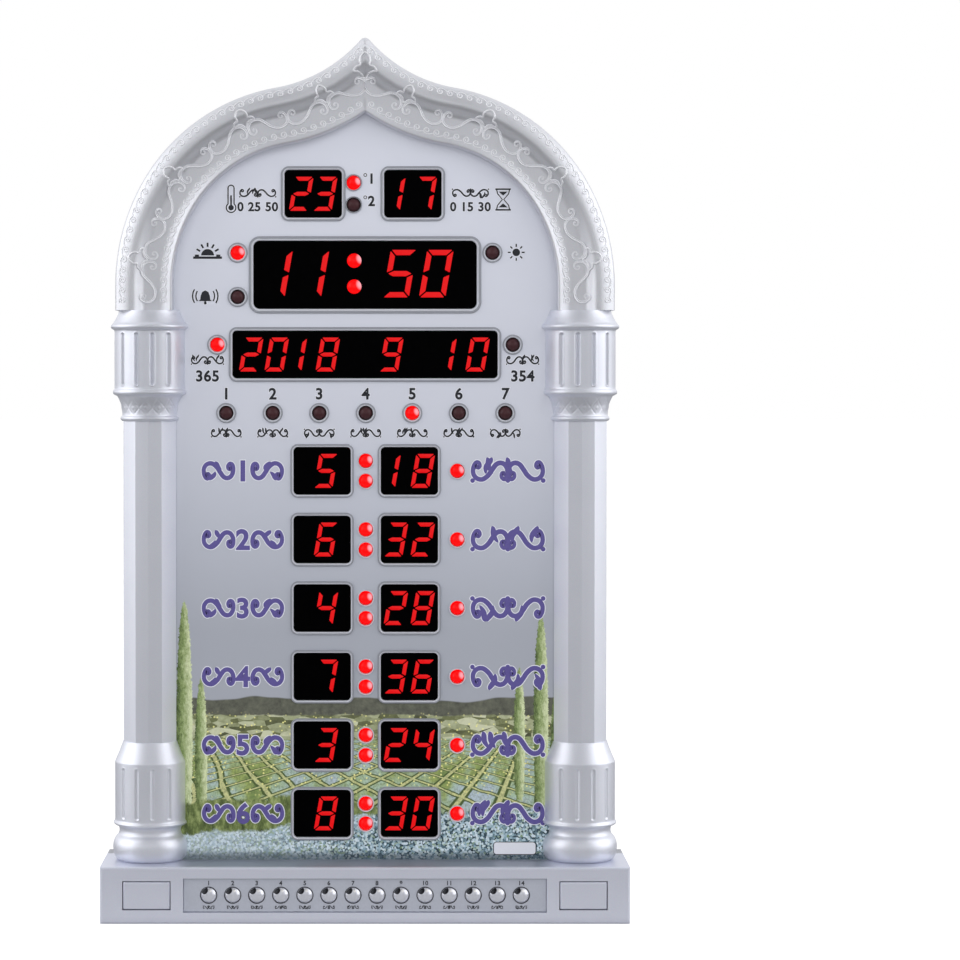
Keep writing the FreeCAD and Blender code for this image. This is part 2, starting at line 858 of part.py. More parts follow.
def round_edges(owner, name, radius, chosen):
    """Fillet the edges of the body so far that the test picks."""
    doc.recompute()
    base = owner.Tip
    picked = [f"Edge{i}" for i, edge in enumerate(base.Shape.Edges, start=1) if chosen(edge)]
    rounding = owner.newObject("PartDesign::Fillet", name)
    rounding.Base = (base, picked)
    rounding.setExpression("Radius", radius.formula)


def is_front_edge(edge):
    """Whether an edge lies in the plane of the plinth's front."""
    return all(abs(p.Point.y - front.value) < 1e-6 for p in edge.Vertexes)


def is_tip_edge(edge):
    """Whether an edge is the outer ridge at the arch's tip."""
    tip = ogee(as_size(0), arch_foot_height)[-1][1].value
    ends = [p.Point for p in edge.Vertexes]
    return len(ends) == 2 and all(abs(p.x) < 1e-6 and abs(p.z - tip) < 1e-4 for p in ends)


def add_pilots(owner, places):
    """Blind screw holes from the parting plane."""
    depth = size["case_screw_bite"] + size["pilot_slack"]
    sketch = sketch_on(owner, "XZ_Plane", f"{owner.Name}_pilot_sketch", depth - split)
    for place in places:
        add_circle(sketch, place, size["case_screw_radius"] + size["screw_gap"])
    feature(owner, "Pocket", f"{owner.Name}_pilots", sketch, Length=depth)


def base_profile():
    """(radius, height) outline of a column's foot: torus, neck, bead, drum and cone."""
    drum = size["drum_radius"]
    bead = base_drum_bottom - size["base_bead_height"]
    half_torus = size["torus_height"] / 2
    bulge = size["torus_radius"] - size["torus_foot_radius"]
    torus_round = (bulge * bulge + half_torus * half_torus) / (bulge * 2)
    half_bead = size["base_bead_height"] / 2
    bead_out = size["bead_reach"]
    bead_round = (bead_out * bead_out + half_bead * half_bead) / (bead_out * 2)
    return [
        (as_size(0), plinth_height),
        (size["torus_foot_radius"], plinth_height),
        (size["torus_foot_radius"], torus_top, torus_round, 1),
        (size["base_neck_radius"], torus_top),
        (size["base_neck_radius"], bead),
        (drum, bead),
        (drum, base_drum_bottom, bead_round, 1),
        (drum, base_drum_top),
        (size["cone_end_radius"], shaft_bottom),
        (as_size(0), shaft_bottom),
    ]


def capital_profile():
    """(radius, height) outline of a capital: ring, neck, bead, drum, collar and cone."""
    drum = size["drum_radius"]
    neck = size["cap_neck_radius"]
    ring = neck + size["bead_reach"] / 2
    ring_top = shaft_top + size["cap_ring_height"]
    bead = drum + size["bead_reach"] / 2
    collar = drum + size["collar_reach"]
    return [
        (as_size(0), shaft_top),
        (ring, shaft_top),
        (ring, ring_top),
        (neck, ring_top),
        (size["cap_neck_top_radius"], cap_neck_top),
        (bead, cap_neck_top),
        (bead, cap_drum_bottom),
        (drum, cap_drum_bottom),
        (drum, cap_drum_top),
        (collar, cap_drum_top),
        (collar, cap_drum_top + size["collar_height"]),
        (size["cap_cone_top_radius"], arch_foot_height),
        (as_size(0), arch_foot_height),
    ]


def turned_on_column(owner, name, points, side):
    """Turn a profile about the column's axis."""
    sketch = sketch_on(owner, "XZ_Plane", f"{name}_profile", -column_axis)
    sketch.setExpression("AttachmentOffset.Base.x", (side * column_centre).formula)
    add_loop(sketch, points)
    feature(owner, "Revolution", name, sketch, ReferenceAxis=(sketch, ["V_Axis"]), Angle=360.0)


def add_flutes(owner, name, side, bottom, top):
    """Four half-round flutes down the front of a drum."""
    sketch = sketch_on(owner, "XY_Plane", f"{name}_sketch", top - size["flute_margin"])
    for side_of_ridge in (-1, 1):
        for step in (0.5, 1.5):
            turn = side_of_ridge * step * size["flute_turn"]
            x = side * column_centre + size["drum_radius"] * sine(turn)
            y = column_axis - size["drum_radius"] * cosine(turn)
            add_circle(sketch, (x, y), size["flute_radius"])
    feature(owner, "Pocket", name, sketch, Length=top - bottom - 2 * size["flute_margin"])


def make_column(name, side):
    """A half-round column: base, faceted shaft and capital, hollow behind."""
    owner = body(name)
    middle = side * column_centre
    inner = side * (column_centre - size["shaft_half_width"])
    outer = side * column_side
    behind = side * rebate_half_width
    low, high = plinth_height, arch_foot_height
    back = sketch_on(owner, "XY_Plane", f"{name}_back_sketch", low)
    add_loop(back, [(behind, dial_face), (outer, dial_face), (outer, split), (behind, split)])
    feature(owner, "Pad", f"{name}_back", back, Length=high - low)
    shaft = sketch_on(owner, "XY_Plane", f"{name}_shaft_sketch", shaft_bottom)
    edge = column_axis - size["shaft_edge_reach"]
    knee = column_axis - size["shaft_knee_reach"]
    ridge = column_axis - size["shaft_ridge_reach"]
    knee_offset = side * size["shaft_knee"]
    add_loop(
        shaft,
        [
            (outer, dial_face),
            (outer, edge),
            (middle + knee_offset, knee),
            (middle, ridge),
            (middle - knee_offset, knee),
            (inner, edge),
            (inner, dial_face),
        ],
    )
    feature(owner, "Pad", f"{name}_shaft", shaft, Length=shaft_top - shaft_bottom)
    turned_on_column(owner, f"{name}_base", base_profile(), side)
    turned_on_column(owner, f"{name}_capital", capital_profile(), side)
    trim_column(owner, name, side, low, high)
    add_flutes(owner, f"{name}_base_flutes", side, base_drum_bottom, base_drum_top)
    add_flutes(owner, f"{name}_cap_flutes", side, cap_drum_bottom, cap_drum_top)
    wall = size["case_wall"]
    bosses = [(side * column_boss_x, height) for height in column_boss_heights]
    near, far = side * (rebate_half_width + wall), side * (column_side - wall)
    hollow(
        owner,
        f"{name}_hollow",
        [[(near, low + wall), (far, low + wall), (far, high - wall), (near, high - wall)]],
        [(boss, size["case_boss_radius"]) for boss in bosses],
        (dial_face + wall, split),
    )
    add_pilots(owner, bosses)
    return owner


def trim_column(owner, name, side, low, high):
    """Cut the turned parts back to the dial's rebate and the parting plane."""
    reach = size["drum_radius"] * 2
    sketch = sketch_on(owner, "XY_Plane", f"{name}_trim_sketch", high)
    behind = side * rebate_half_width
    outside = side * (column_centre + reach)
    inside = side * (column_centre - reach)
    far = split + reach
    rebate = [(inside, dial_face), (behind, dial_face), (behind, split)]
    add_loop(sketch, rebate + [(outside, split), (outside, far), (inside, far)])
    feature(owner, "Pocket", f"{name}_trim", sketch, Length=high - low)


def make_plinth():
    """Hollow block, open behind, with the strip's recess, two plate windows and its posts."""
    half = plinth_half_width
    wall = size["case_wall"]
    block = body("plinth_block")
    corners = [(-half, as_size(0)), (half, as_size(0)), (half, plinth_height), (-half, plinth_height)]
    plate(block, "plinth_pad", [corners], (front, split))
    round_edges(block, "plinth_rounding", size["plinth_edge_round"], is_front_edge)
    inside = (wall, plinth_height - wall)
    cavity = box("plinth_cavity", (wall - half, half - wall), (plinth_wall_back, split + OVERCUT), inside)
    through_wall = deeper((front, plinth_wall_back))
    strip_across = span(as_size(0), strip_width)
    strip_high = span(control_height, size["strip_height"])
    recess = box("strip_recess_cut", strip_across, (front - OVERCUT, strip_back), strip_high)
    window = box(
        "strip_window_cut",
        span(as_size(0), strip_width - 2 * size["strip_ledge"]),
        through_wall,
        span(control_height, size["strip_height"] - 2 * size["strip_ledge"]),
    )
    notch = box(
        "cable_notch_cut",
        span(as_size(0), size["cable_notch_width"]),
        (split - size["cable_notch_depth"], split + OVERCUT),
        deeper((plinth_height - wall, plinth_height)),
    )
    gaps = 2 * size["fit_gap"]
    plate_cuts = [
        box(
            f"plate_window_cut_{i}",
            span(side * plate_across, size["plate_width"] + gaps),
            through_wall,
            span(control_height, size["plate_height"] + gaps),
        )
        for i, side in enumerate((-1, 1))
    ]
    shell = cut("plinth_shell", block, [cavity, recess, window, notch] + plate_cuts)
    post_depth = (plinth_wall_back, key_board_front)
    pilot = size["case_screw_bite"] + size["pilot_slack"]
    boss_depth = (split - pilot - size["plinth_boss_floor"], split)
    post_pilot_depth = (key_board_front - size["board_screw_length"], key_board_front + OVERCUT)
    pilot_depth = (split - pilot, split + OVERCUT)
    additions, holes = [], []
    for i, side in enumerate((-1, 1)):
        x = side * post_across
        additions.append(rod(f"key_post_{i}", x, control_height, post_depth, size["post_radius"]))
        pilot_radius = size["board_screw_radius"] + size["screw_gap"]
        holes.append(rod(f"key_pilot_{i}", x, control_height, post_pilot_depth, pilot_radius))
        x = side * plinth_boss[0]
        additions.append(rod(f"plinth_boss_{i}", x, plinth_boss[1], boss_depth, size["case_boss_radius"]))
        additions.append(box(f"plinth_boss_web_{i}", span(x, size["plinth_boss_web"]), boss_depth, inside))
        pilot_radius = size["case_screw_radius"] + size["screw_gap"]
        holes.append(rod(f"plinth_pilot_{i}", x, plinth_boss[1], pilot_depth, pilot_radius))
    return cut("plinth_housing", fuse("plinth_with_posts", [shell] + additions), holes)


def keyhole_cuts():
    """Round entry, upright slot and its round end, for each of the two keyholes."""
    cuts = []
    depth = deeper((cover_floor, rear))
    slot = size["keyhole_slot_radius"]
    low, top = keyhole_height, keyhole_height + size["keyhole_rise"]
    for i, side in enumerate((-1, 1)):
        x = side * keyhole_across
        cuts.append(rod(f"keyhole_entry_{i}", x, low, depth, size["keyhole_radius"]))
        cuts.append(box(f"keyhole_slot_{i}", span(x, 2 * slot), depth, (low, top)))
        cuts.append(rod(f"keyhole_end_{i}", x, top, depth, slot))
    return cuts


def slot_cuts():
    """Upright slots: the speaker's grille, and the vents above it."""
    cuts = []
    depth = deeper((cover_floor, rear))
    for i in range(-3, 4):
        x = i * size["grille_pitch"]
        half = root(size["grille_radius"] * size["grille_radius"] - x * x)
        across = span(x, size["slot_width"])
        cuts.append(box(f"grille_slot_{i + 3}", across, depth, span(speaker_height, 2 * half)))
    for i in range(-4, 5):
        across = span(i * size["vent_pitch"], size["slot_width"])
        cuts.append(box(f"vent_{i + 4}", across, depth, span(vent_height, size["vent_length"])))
    return cuts


def make_back_cover():
    """Shallow pan with a rim, screw bosses, keyholes, slots, jack hole and battery bay."""
    wall = size["case_wall"]
    gap = size["fit_gap"]
    pan = body("cover_pan")
    plate(pan, "cover_pad", [case_outline(as_size(0))], (split, rear))
    round_edges(pan, "cover_tip", size["arch_tip_round"], is_tip_edge)
    bosses = case_screw_places()
    hollow(
        pan,
        "cover_hollow",
        [case_outline(wall)],
        [(place, size["case_boss_radius"]) for place in bosses],
        (split, cover_floor),
    )
    bay = (size["bay_across"], bay_height)
    tube_inside = cap_radius + gap
    tube_front = board_back + size["holder_floor"] + size["cell_height"] + 2 * gap
    tube = rod("bay_tube", bay[0], bay[1], (tube_front, cover_floor), tube_inside + size["bay_tube_wall"])
    tube_space = rod("bay_tube_space", bay[0], bay[1], (tube_front - OVERCUT, cover_floor), tube_inside)
    solid = fuse("cover_with_tube", [pan, cut("bay_tube_wall", tube, [tube_space])])
    tools = keyhole_cuts() + slot_cuts()
    screw_hole = size["case_screw_radius"] + 2 * size["screw_gap"]
    counterbore = size["case_screw_head_radius"] + gap
    for i, (x, z) in enumerate(bosses):
        tools.append(rod(f"cover_screw_hole_{i}", x, z, deeper((split, rear)), screw_hole))
        depth = (rear - size["counterbore_depth"], rear + OVERCUT)
        tools.append(rod(f"counterbore_{i}", x, z, depth, counterbore))
    through = deeper((cover_floor, rear))
    flange_depth = (rear - size["jack_flange"], rear + OVERCUT)
    tools.append(rod("jack_hole", jack_across, jack_height, through, size["jack_thread_radius"] + gap))
    tools.append(rod("jack_seat", jack_across, jack_height, flange_depth, size["jack_flange_radius"] + gap))
    cap_depth = (rear - size["cap_flange"], rear + OVERCUT)
    tools.append(rod("bay_hole", bay[0], bay[1], through, cap_neck_radius + gap))
    tools.append(rod("cap_seat", bay[0], bay[1], cap_depth, tube_inside))
    notch = box(
        "lug_notch",
        span(as_size(0), 2 * (lug_radius + gap)),
        through,
        span(as_size(0), size["lug_width"] + 2 * gap),
    )
    turned_notch = group("lug_notch_turned", [notch])
    turned_notch.Placement = FreeCAD.Placement(vector(0, 0, 0), FreeCAD.Rotation(vector(0, 1, 0), 1))
    turned_notch.setExpression("Placement.Rotation.Angle", size["cap_turn"].formula)
    bind(turned_notch, at_x=bay[0], at_z=bay[1])
    tools.append(turned_notch)
    return cut("back_cover", solid, tools)


# ---------------------------------------------------------------- dial


def rounded_window(name, middle, width, height, corner, deep):
    """A bar along Y with rounded corners, as wide and high as given."""
    owner = body(name)
    x0, x1 = span(middle[0], width)
    z0, z1 = span(middle[1], height)
    loop = [
        (x0 + corner, z0, corner, 1),
        (x1 - corner, z0),
        (x1, z0 + corner, corner, 1),
        (x1, z1 - corner),
        (x1 - corner, z1, corner, 1),
        (x0 + corner, z1),
        (x0, z1 - corner, corner, 1),
        (x0, z0 + corner),
    ]
    plate(owner, f"{name}_pad", [loop], deep)
    return owner


def make_window_cutters():
    """Bars that open the overlay and panel for every module."""
    gaps = 2 * size["window_gap"]
    deep = deeper((dial_face, panel_back))
    return [
        rounded_window(f"{name}_opening", middle, width + gaps, height + gaps, corner, deep)
        for name, middle, width, height, corner, _ in display_windows()
    ]


def make_dial():
    """Printed overlay, and the panel behind it with its standoffs."""
    outline = whole_ogee(dial_inset, plinth_height)
    overlay = body("overlay_blank")
    plate(overlay, "overlay_pad", [outline], (dial_face, overlay_back))
    panel = body("panel_blank")
    plate(panel, "panel_pad", [outline], (overlay_back, panel_back))
    windows = make_window_cutters()
    lamp_hole = size["lamp_radius"] + size["lamp_gap"]
    hole = rod("lamp_hole", 0, 0, deeper((dial_face, panel_back)), lamp_hole)
    holes = repeat("lamp_holes", hole, [place for _, place in dial_lamps])
    pilot_depth = (board_back - size["board_screw_length"] - OVERCUT, board_front + OVERCUT)
    pilot_radius = size["board_screw_radius"] + size["screw_gap"]
    standoffs, pilots = [], []
    for i, (x, z) in enumerate(standoff_places()):
        standoffs.append(rod(f"standoff_{i}", x, z, (panel_back, board_front), size["standoff_radius"]))
        pilots.append(rod(f"standoff_pilot_{i}", x, z, pilot_depth, pilot_radius))
    receiver_radius = size["receiver_lens_radius"] + size["receiver_hole_margin"]
    receiver_depth = (overlay_back, panel_back + OVERCUT)
    receiver = rod("receiver_hole", receiver_place[0], receiver_place[1], receiver_depth, receiver_radius)
    backed = fuse("panel_with_standoffs", [panel] + standoffs)
    return [
        cut("dial_overlay", overlay, windows + [holes]),
        cut("dial_panel", backed, windows + [holes, receiver] + pilots),
    ]


def make_window_bezels():
    """A raised border round every window."""
    borders = []
    deep = (dial_face - size["bezel_relief"], dial_face)
    gaps = 2 * size["window_gap"]
    for name, middle, width, height, corner, border in display_windows():
        edge = 2 * border
        outer = rounded_window(f"{name}_border", middle, width + edge, height + edge, corner + border, deep)
        opening = (width + gaps, height + gaps, corner)
        space = rounded_window(f"{name}_border_space", middle, *opening, deeper(deep))
        borders.append(cut(f"{name}_bezel", outer, [space]))
    return group("window_bezels", borders)


def make_displays():
    """One housing for each display module; an hour and a minute module share a row's node."""
    modules = {}
    deep = (module_face, board_front)
    for name, middle, width, height, corner, _ in display_windows():
        modules[name] = rounded_window(f"{name}_module", middle, width, height, corner, deep)
    displays = []
    for name in ("temperature", "countdown", "time", "date"):
        modules[name].Label = f"{name}_display"
        displays.append(modules[name])
    for i in range(1, len(ROW_TIMES) + 1):
        displays.append(group(f"row_{i}_displays", [modules[f"hour_{i}"], modules[f"minute_{i}"]]))
    return displays


# Which of the seven segments, top, upper right, lower right, bottom, lower left, upper left and
# middle, light for each numeral.
NUMERALS = {
    "0": "1111110",
    "1": "0110000",
    "2": "1101101",
    "3": "1111001",
    "4": "0110011",
    "5": "1011011",
    "6": "1011111",
    "7": "1110000",
    "8": "1111111",
    "9": "1111011",
}


def flipped(corners, across, up):
    return [(across * x, up * z) for x, z in corners]


def segment_outlines(width, height, thick):
    """Corners of the seven segments of an upright digit about its middle.

    The ends are mitred where two segments meet at a corner, and run to a point at mid height.
    """
    gap = size["segment_gap"].value
    side, top = width / 2, height / 2
    near, under = side - thick, top - thick
    cap = [(gap - side, top), (side - gap, top), (near - gap, under), (gap - near, under)]
    post = [(side, top - gap), (side, gap), (near, thick / 2 + gap), (near, under - gap)]
    edge = [(2 * gap - side, 0), (2 * gap - near, thick / 2), (near - 2 * gap, thick / 2)]
    bar = edge + flipped(edge, -1, -1)
    return [
        cap,
        post,
        flipped(post, 1, -1),
        flipped(cap, 1, -1),
        flipped(post, -1, -1),
        flipped(post, -1, 1),
        bar,
    ]


def segment_solid(corners, middle):
    """A thin bar on the face of a module, leaning with its digit."""
    lean = math.tan(math.radians(size["digit_slant"].value))
    x, z = middle[0].value, middle[1].value
    points = [vector(x + a + b * lean, module_face.value, z + b) for a, b in corners]
    outline = Part.makePolygon(points + points[:1])
    return Part.Face(outline).extrude(vector(0, -size["segment_relief"].value, 0))


def digit_runs():
    """Text, middle of the text, digit pitch and digit sizes of each run of numerals."""
    small = tuple(size[f"small_{n}"].value for n in ("digit_width", "digit_height", "segment_width"))
    large = tuple(size[f"time_{n}"].value for n in ("digit_width", "digit_height", "segment_width"))
    top_pitch, row_pitch_across = size["top_digit_pitch"], size["row_digit_pitch"]
    date_pitch, time_pitch = size["date_digit_pitch"], size["time_digit_pitch"]
    date_end = size["date_window_width"] / 2
    time_middle = time_height + size["time_digit_rise"]
    runs = [
        ("23", (temperature_across, top_windows_height), top_pitch, small),
        ("17", (countdown_across, top_windows_height), top_pitch, small),
        ("11", (size["time_hours_offset"], time_middle), time_pitch, large),
        ("50", (size["time_minutes_offset"], time_middle), time_pitch, large),
        ("2018", (size["date_year_margin"] - date_end, date_height), date_pitch, small),
        ("9", (size["date_month_offset"], date_height), date_pitch, small),
        ("10", (date_end - size["date_day_margin"], date_height), date_pitch, small),
    ]
    for (hours, minutes), height in zip(ROW_TIMES, row_heights()):
        hour_middle = hour_across + size["hour_digit_offset"]
        runs.append((hours, (hour_middle, height), row_pitch_across, small))
        runs.append((minutes, (minute_across, height), row_pitch_across, small))
    return runs


def make_segments():
    """The lit segments of every digit. A 1 stands in the middle of its cell."""
    bars = []
    for text, middle, pitch, (width, height, thick) in digit_runs():
        for i, numeral in enumerate(text):
            x = middle[0] + (i - (len(text) - 1) / 2) * pitch
            if numeral == "1":
                x = x - (width - thick) / 2
            for corners, state in zip(segment_outlines(width, height, thick), NUMERALS[numeral]):
                if state == "1":
                    bars.append(segment_solid(corners, (x, middle[1])))
    item = doc.addObject("Part::Feature", "lit_segments")
    item.Shape = Part.makeCompound(bars)
    return item


def lamp_ring(name, width):
    """A raised ring round a lamp's hole."""
    hole = size["lamp_radius"] + size["lamp_gap"]
    ring_front = dial_face - size["lamp_ring_relief"]
    outline = [(hole, dial_face), (hole, ring_front), (hole + width, ring_front), (hole + width, dial_face)]
    return turned(name, outline, 0, 0)


def make_lamps():
    """Domed lamps on the board, each through its hole, and the rings round the holes."""
    tip = dial_face - size["lamp_proud"]
    radius = size["lamp_radius"]
    lamp_outline = [
        (as_size(0), tip, radius, -1),
        (as_size(0), board_front),
        (radius, board_front),
        (radius, tip + radius),
    ]
    lamp = turned("lamp_master", lamp_outline, 0, 0)
    colon_radius = size["time_colon_radius"]
    rise = size["lamp_proud"]
    dome_round = (colon_radius * colon_radius + rise * rise) / (rise * 2)
    colon_outline = [
        (as_size(0), module_face - rise, dome_round, -1),
        (as_size(0), module_face),
        (colon_radius, module_face),
    ]
    colon = turned("time_colon_master", colon_outline, 0, 0)
    colon_middle = time_height + size["time_digit_rise"]
    colon_places = [
        (size["time_colon_offset"], colon_middle + side * size["time_colon_rise"]) for side in (-1, 1)
    ]
    wide_ring = lamp_ring("wide_ring_master", size["lamp_ring_width"])
    narrow_ring = lamp_ring("narrow_ring_master", size["narrow_ring_width"])
    both = ("lit", "dark")
    return [
        group(
            "lit_lamps",
            [
                repeat("lit_dial_lamps", lamp, places_of(dial_lamps, "lit")),
                repeat("time_colon_lamps", colon, colon_places),
            ],
        ),
        repeat("dark_lamps", lamp, places_of(dial_lamps, "dark")),
        group(
            "lamp_bezels",
            [
                repeat("wide_rings", wide_ring, places_of(wide_ring_lamps(), *both)),
                repeat("narrow_rings", narrow_ring, places_of(narrow_ring_lamps(), *both)),
            ],
        ),
    ]


# ---------------------------------------------------------------- controls


def make_control_strip():
    gaps = 2 * size["fit_gap"]
    across = span(as_size(0), strip_width - gaps)
    deep = (strip_face, strip_back)
    blank = box("strip_blank", across, deep, span(control_height, size["strip_height"] - gaps))
    radius = size["button_radius"] + size["fit_gap"]
    holes = [
        rod(f"button_hole_{i}", x, control_height, deeper(deep), radius)
        for i, x in enumerate(button_places(), start=1)
    ]
    return cut("control_strip", blank, holes)


def make_buttons():
    """Domed caps, each with a flange behind the strip and a stem into its switch."""
    radius = size["button_radius"]
    dome = size["button_dome"]
    dome_round = (radius * radius + dome * dome) / (dome * 2)
    flange_radius = radius + size["button_flange_reach"]
    flange_back = strip_back + size["button_flange"]
    stem_end = switch_front + size["switch_entry"]
    profile = [
        (as_size(0), front, dome_round, -1),
        (as_size(0), stem_end),
        (size["button_stem_radius"], stem_end),
        (size["button_stem_radius"], flange_back),
        (flange_radius, flange_back),
        (flange_radius, strip_back),
        (radius, strip_back),
        (radius, front + dome),
    ]
    return [turned(name, profile, x, control_height) for name, x in zip(BUTTON_NAMES, button_places())]


def make_blank_plate(name, side):
    """A flat snap-in plate with a flange behind the plinth's front wall."""
    x = side * plate_across
    width, height = size["plate_width"], size["plate_height"]
    face = front + size["plate_inset"]
    edges = 2 * (size["fit_gap"] + size["plate_flange"])
    back = plinth_wall_back + size["plate_flange"]
    tongue = box(f"{name}_tongue", span(x, width), (face, back), span(control_height, height))
    flange_high = span(control_height, height + edges)
    flange = box(f"{name}_flange", span(x, width + edges), (plinth_wall_back, back), flange_high)
    return fuse(name, [tongue, flange])


def make_button_board():
    across = span(as_size(0), 2 * (post_across + size["key_board_end"]))
    deep = (key_board_front, key_board_back)
    blank = box("key_board_blank", across, deep, span(control_height, size["key_board_height"]))
    radius = size["board_screw_radius"] + size["fit_gap"]
    holes = [
        rod(f"key_board_hole_{i}", side * post_across, control_height, deeper(deep), radius)
        for i, side in enumerate((-1, 1))
    ]
    return cut("button_board", blank, holes)


def make_switches():
    """Square tact switches, each with a bore for its button's stem."""
    side = size["switch_side"]
    high = span(control_height, side)
    bore_end = switch_front + size["switch_entry"] + size["button_travel"] + size["switch_slack"]
    bore_radius = size["button_stem_radius"] + size["fit_gap"]
    switches = []
    for i, x in enumerate(button_places(), start=1):
        case = box(f"switch_case_{i}", span(x, side), (switch_front, key_board_front), high)
        depth = (switch_front - OVERCUT, bore_end)
        bore = rod(f"switch_bore_{i}", x, control_height, depth, bore_radius)
        switches.append(cut(f"switch_{i}", case, [bore]))
    return group("tact_switches", switches)


# ---------------------------------------------------------------- inside


def make_display_board():
    owner = body("board_blank")
    deep = (board_front, board_back)
    plate(owner, "board_pad", [whole_ogee(dial_inset + size["board_inset"], board_bottom)], deep)
    radius = size["board_screw_radius"] + size["fit_gap"]
    holes = [rod(f"board_hole_{i}", x, z, deeper(deep), radius) for i, (x, z) in enumerate(standoff_places())]
    return cut("display_board", owner, holes)


def chip(name, middle, width, height, thick):
    """A package that lies on the back of the display board."""
    return box(name, span(middle[0], width), (board_back, board_back + thick), span(middle[1], height))


def make_board_components():
    """Controller, four display drivers, voice chip, two capacitors and a crystal."""
    side = size["controller_side"]
    controller_height = plinth_height + size["controller_rise"]
    pieces = [chip("controller", (as_size(0), controller_height), side, side, size["controller_thickness"])]
    driver = (size["driver_width"], size["driver_height"], size["driver_thickness"])
    for i in range(4):
        place = ((i - 1.5) * size["driver_pitch"], arch_foot_height - size["driver_drop"])
        pieces.append(chip(f"driver_{i}", place, *driver))
    place = (size["voice_chip_across"], plinth_height + size["voice_chip_rise"])
    pieces.append(chip("voice_chip", place, size["driver_height"], size["driver_width"], driver[2]))
    depth = (board_back, board_back + size["capacitor_height"])
    for i in range(2):
        x = jack_across + size["capacitor_offset"]
        z = jack_height + i * size["capacitor_pitch"]
        pieces.append(rod(f"capacitor_{i}", x, z, depth, size["capacitor_radius"]))
    crystal_x = side / 2 + size["crystal_gap"] + size["crystal_width"] / 2
    crystal = (size["crystal_width"], size["crystal_height"], size["crystal_thickness"])
    pieces.append(chip("crystal", (crystal_x, controller_height), *crystal))
    return group("board_components", pieces)


def make_receiver():
    """Infrared receiver on the front of the board, behind the overlay."""
    x, z = receiver_place
    deep = (board_front - size["receiver_depth"], board_front)
    case = box("receiver_case", span(x, size["receiver_width"]), deep, span(z, size["receiver_height"]))
    lens_front = panel_back - size["receiver_lens_reach"]
    lens = rod("receiver_lens", x, z, (lens_front, board_front), size["receiver_lens_radius"])
    return fuse("ir_receiver", [case, lens])


def make_ribbon():
    """Flat ribbon from the button board to the display board, and the two headers it joins."""
    x = size["ribbon_across"]
    width = size["ribbon_width"]
    thick = size["ribbon_thickness"]
    low = control_height - thick / 2
    deep = size["header_depth"]
    header_low = board_bottom + size["header_rise"]
    run_front = board_back + deep / 2 - thick / 2
    run_back = run_front + thick
    bend = size["ribbon_bend"]
    start = key_board_back + deep
    owner = body("ribbon_cable")
    sketch = sketch_on(owner, "YZ_Plane", "ribbon_sketch", x - width / 2)
    add_loop(
        sketch,
        [
            (start, low),
            (run_back - bend, low),
            (run_back, low + bend, bend, 1),
            (run_back, header_low),
            (run_front, header_low),
            (run_front, low + bend),
            (run_back - bend, low + thick, bend - thick, -1),
            (start, low + thick),
        ],
    )
    feature(owner, "Pad", "ribbon_pad", sketch, Length=width)
    high = span(control_height, size["header_height"])
    board_high = (header_low, header_low + size["header_height"])
    headers = [
        box("key_header", span(x, width), (key_board_back, start), high),
        box("board_header", span(x, width), (board_back, board_back + deep), board_high),
    ]
    return [owner, group("cable_headers", headers)]


def make_speaker():
    """Basket and cone seated on the cover's floor, and the magnet behind them."""
    z = speaker_height
    outer = size["speaker_radius"]
    magnet = size["magnet_radius"] + size["magnet_seat"]
    wall = size["basket_wall"]
    rim_front = cover_floor - size["speaker_rim"]
    basket_front = cover_floor - size["speaker_depth"]
    land = outer - size["speaker_land"]
    basket = turned(
        "speaker_basket",
        [
            (land, cover_floor),
            (outer, cover_floor),
            (outer, rim_front),
            (land + wall, rim_front),
            (magnet, basket_front),
            (as_size(0), basket_front),
            (as_size(0), basket_front + wall),
            (magnet - wall, basket_front + wall),
            (land, rim_front + wall),
        ],
        0,
        z,
    )
    gap = size["fit_gap"]
    thick = size["cone_thickness"]
    cone_back = basket_front + wall + gap
    cone = turned(
        "speaker_cone",
        [
            (as_size(0), cone_back),
            (magnet - wall * 2, cone_back),
            (land - gap, rim_front + wall + gap),
            (land - gap, rim_front + wall + gap + thick),
            (magnet - wall * 3, cone_back + thick),
            (as_size(0), cone_back + thick),
        ],
        0,
        z,
    )
    magnet_front = basket_front - size["magnet_depth"]
    magnet_piece = rod("speaker_magnet", 0, z, (magnet_front, basket_front), size["magnet_radius"])
    return [basket, cone, magnet_piece]


def make_power_jack():
    """Panel jack with its flange outside, a bore with a centre pin, and a nut inside."""
    x, z = jack_across, jack_height
    flange_front = rear - size["jack_flange"]
    bore_end = rear - size["jack_bore_depth"]
    pin, bore = size["jack_pin_radius"], size["jack_bore_radius"]
    pin_tip = rear - size["jack_pin_recess"]
    outline = [
        (as_size(0), jack_front),
        (size["jack_thread_radius"], jack_front),
        (size["jack_thread_radius"], flange_front),
        (size["jack_flange_radius"], flange_front),
        (size["jack_flange_radius"], rear),
        (bore, rear),
        (bore, bore_end),
        (pin, bore_end),
        (pin, pin_tip),
        (as_size(0), pin_tip),
    ]
    jack = turned("power_jack", outline, x, z)
    nut_depth = (cover_floor - size["nut_height"], cover_floor)
    blank = doc.addObject("Part::Prism", "nut_blank")
    blank.Polygon = 6
    blank.Placement = FreeCAD.Placement(vector(0, 0, 0), ALONG_Y)
    bind(blank, Circumradius=size["nut_radius"], Height=size["nut_height"], at_x=x, at_y=nut_depth[0], at_z=z)
    hole = rod("nut_hole", x, z, deeper(nut_depth), size["jack_thread_radius"] + size["screw_gap"])
    return [jack, cut("power_jack_nut", blank, [hole])]


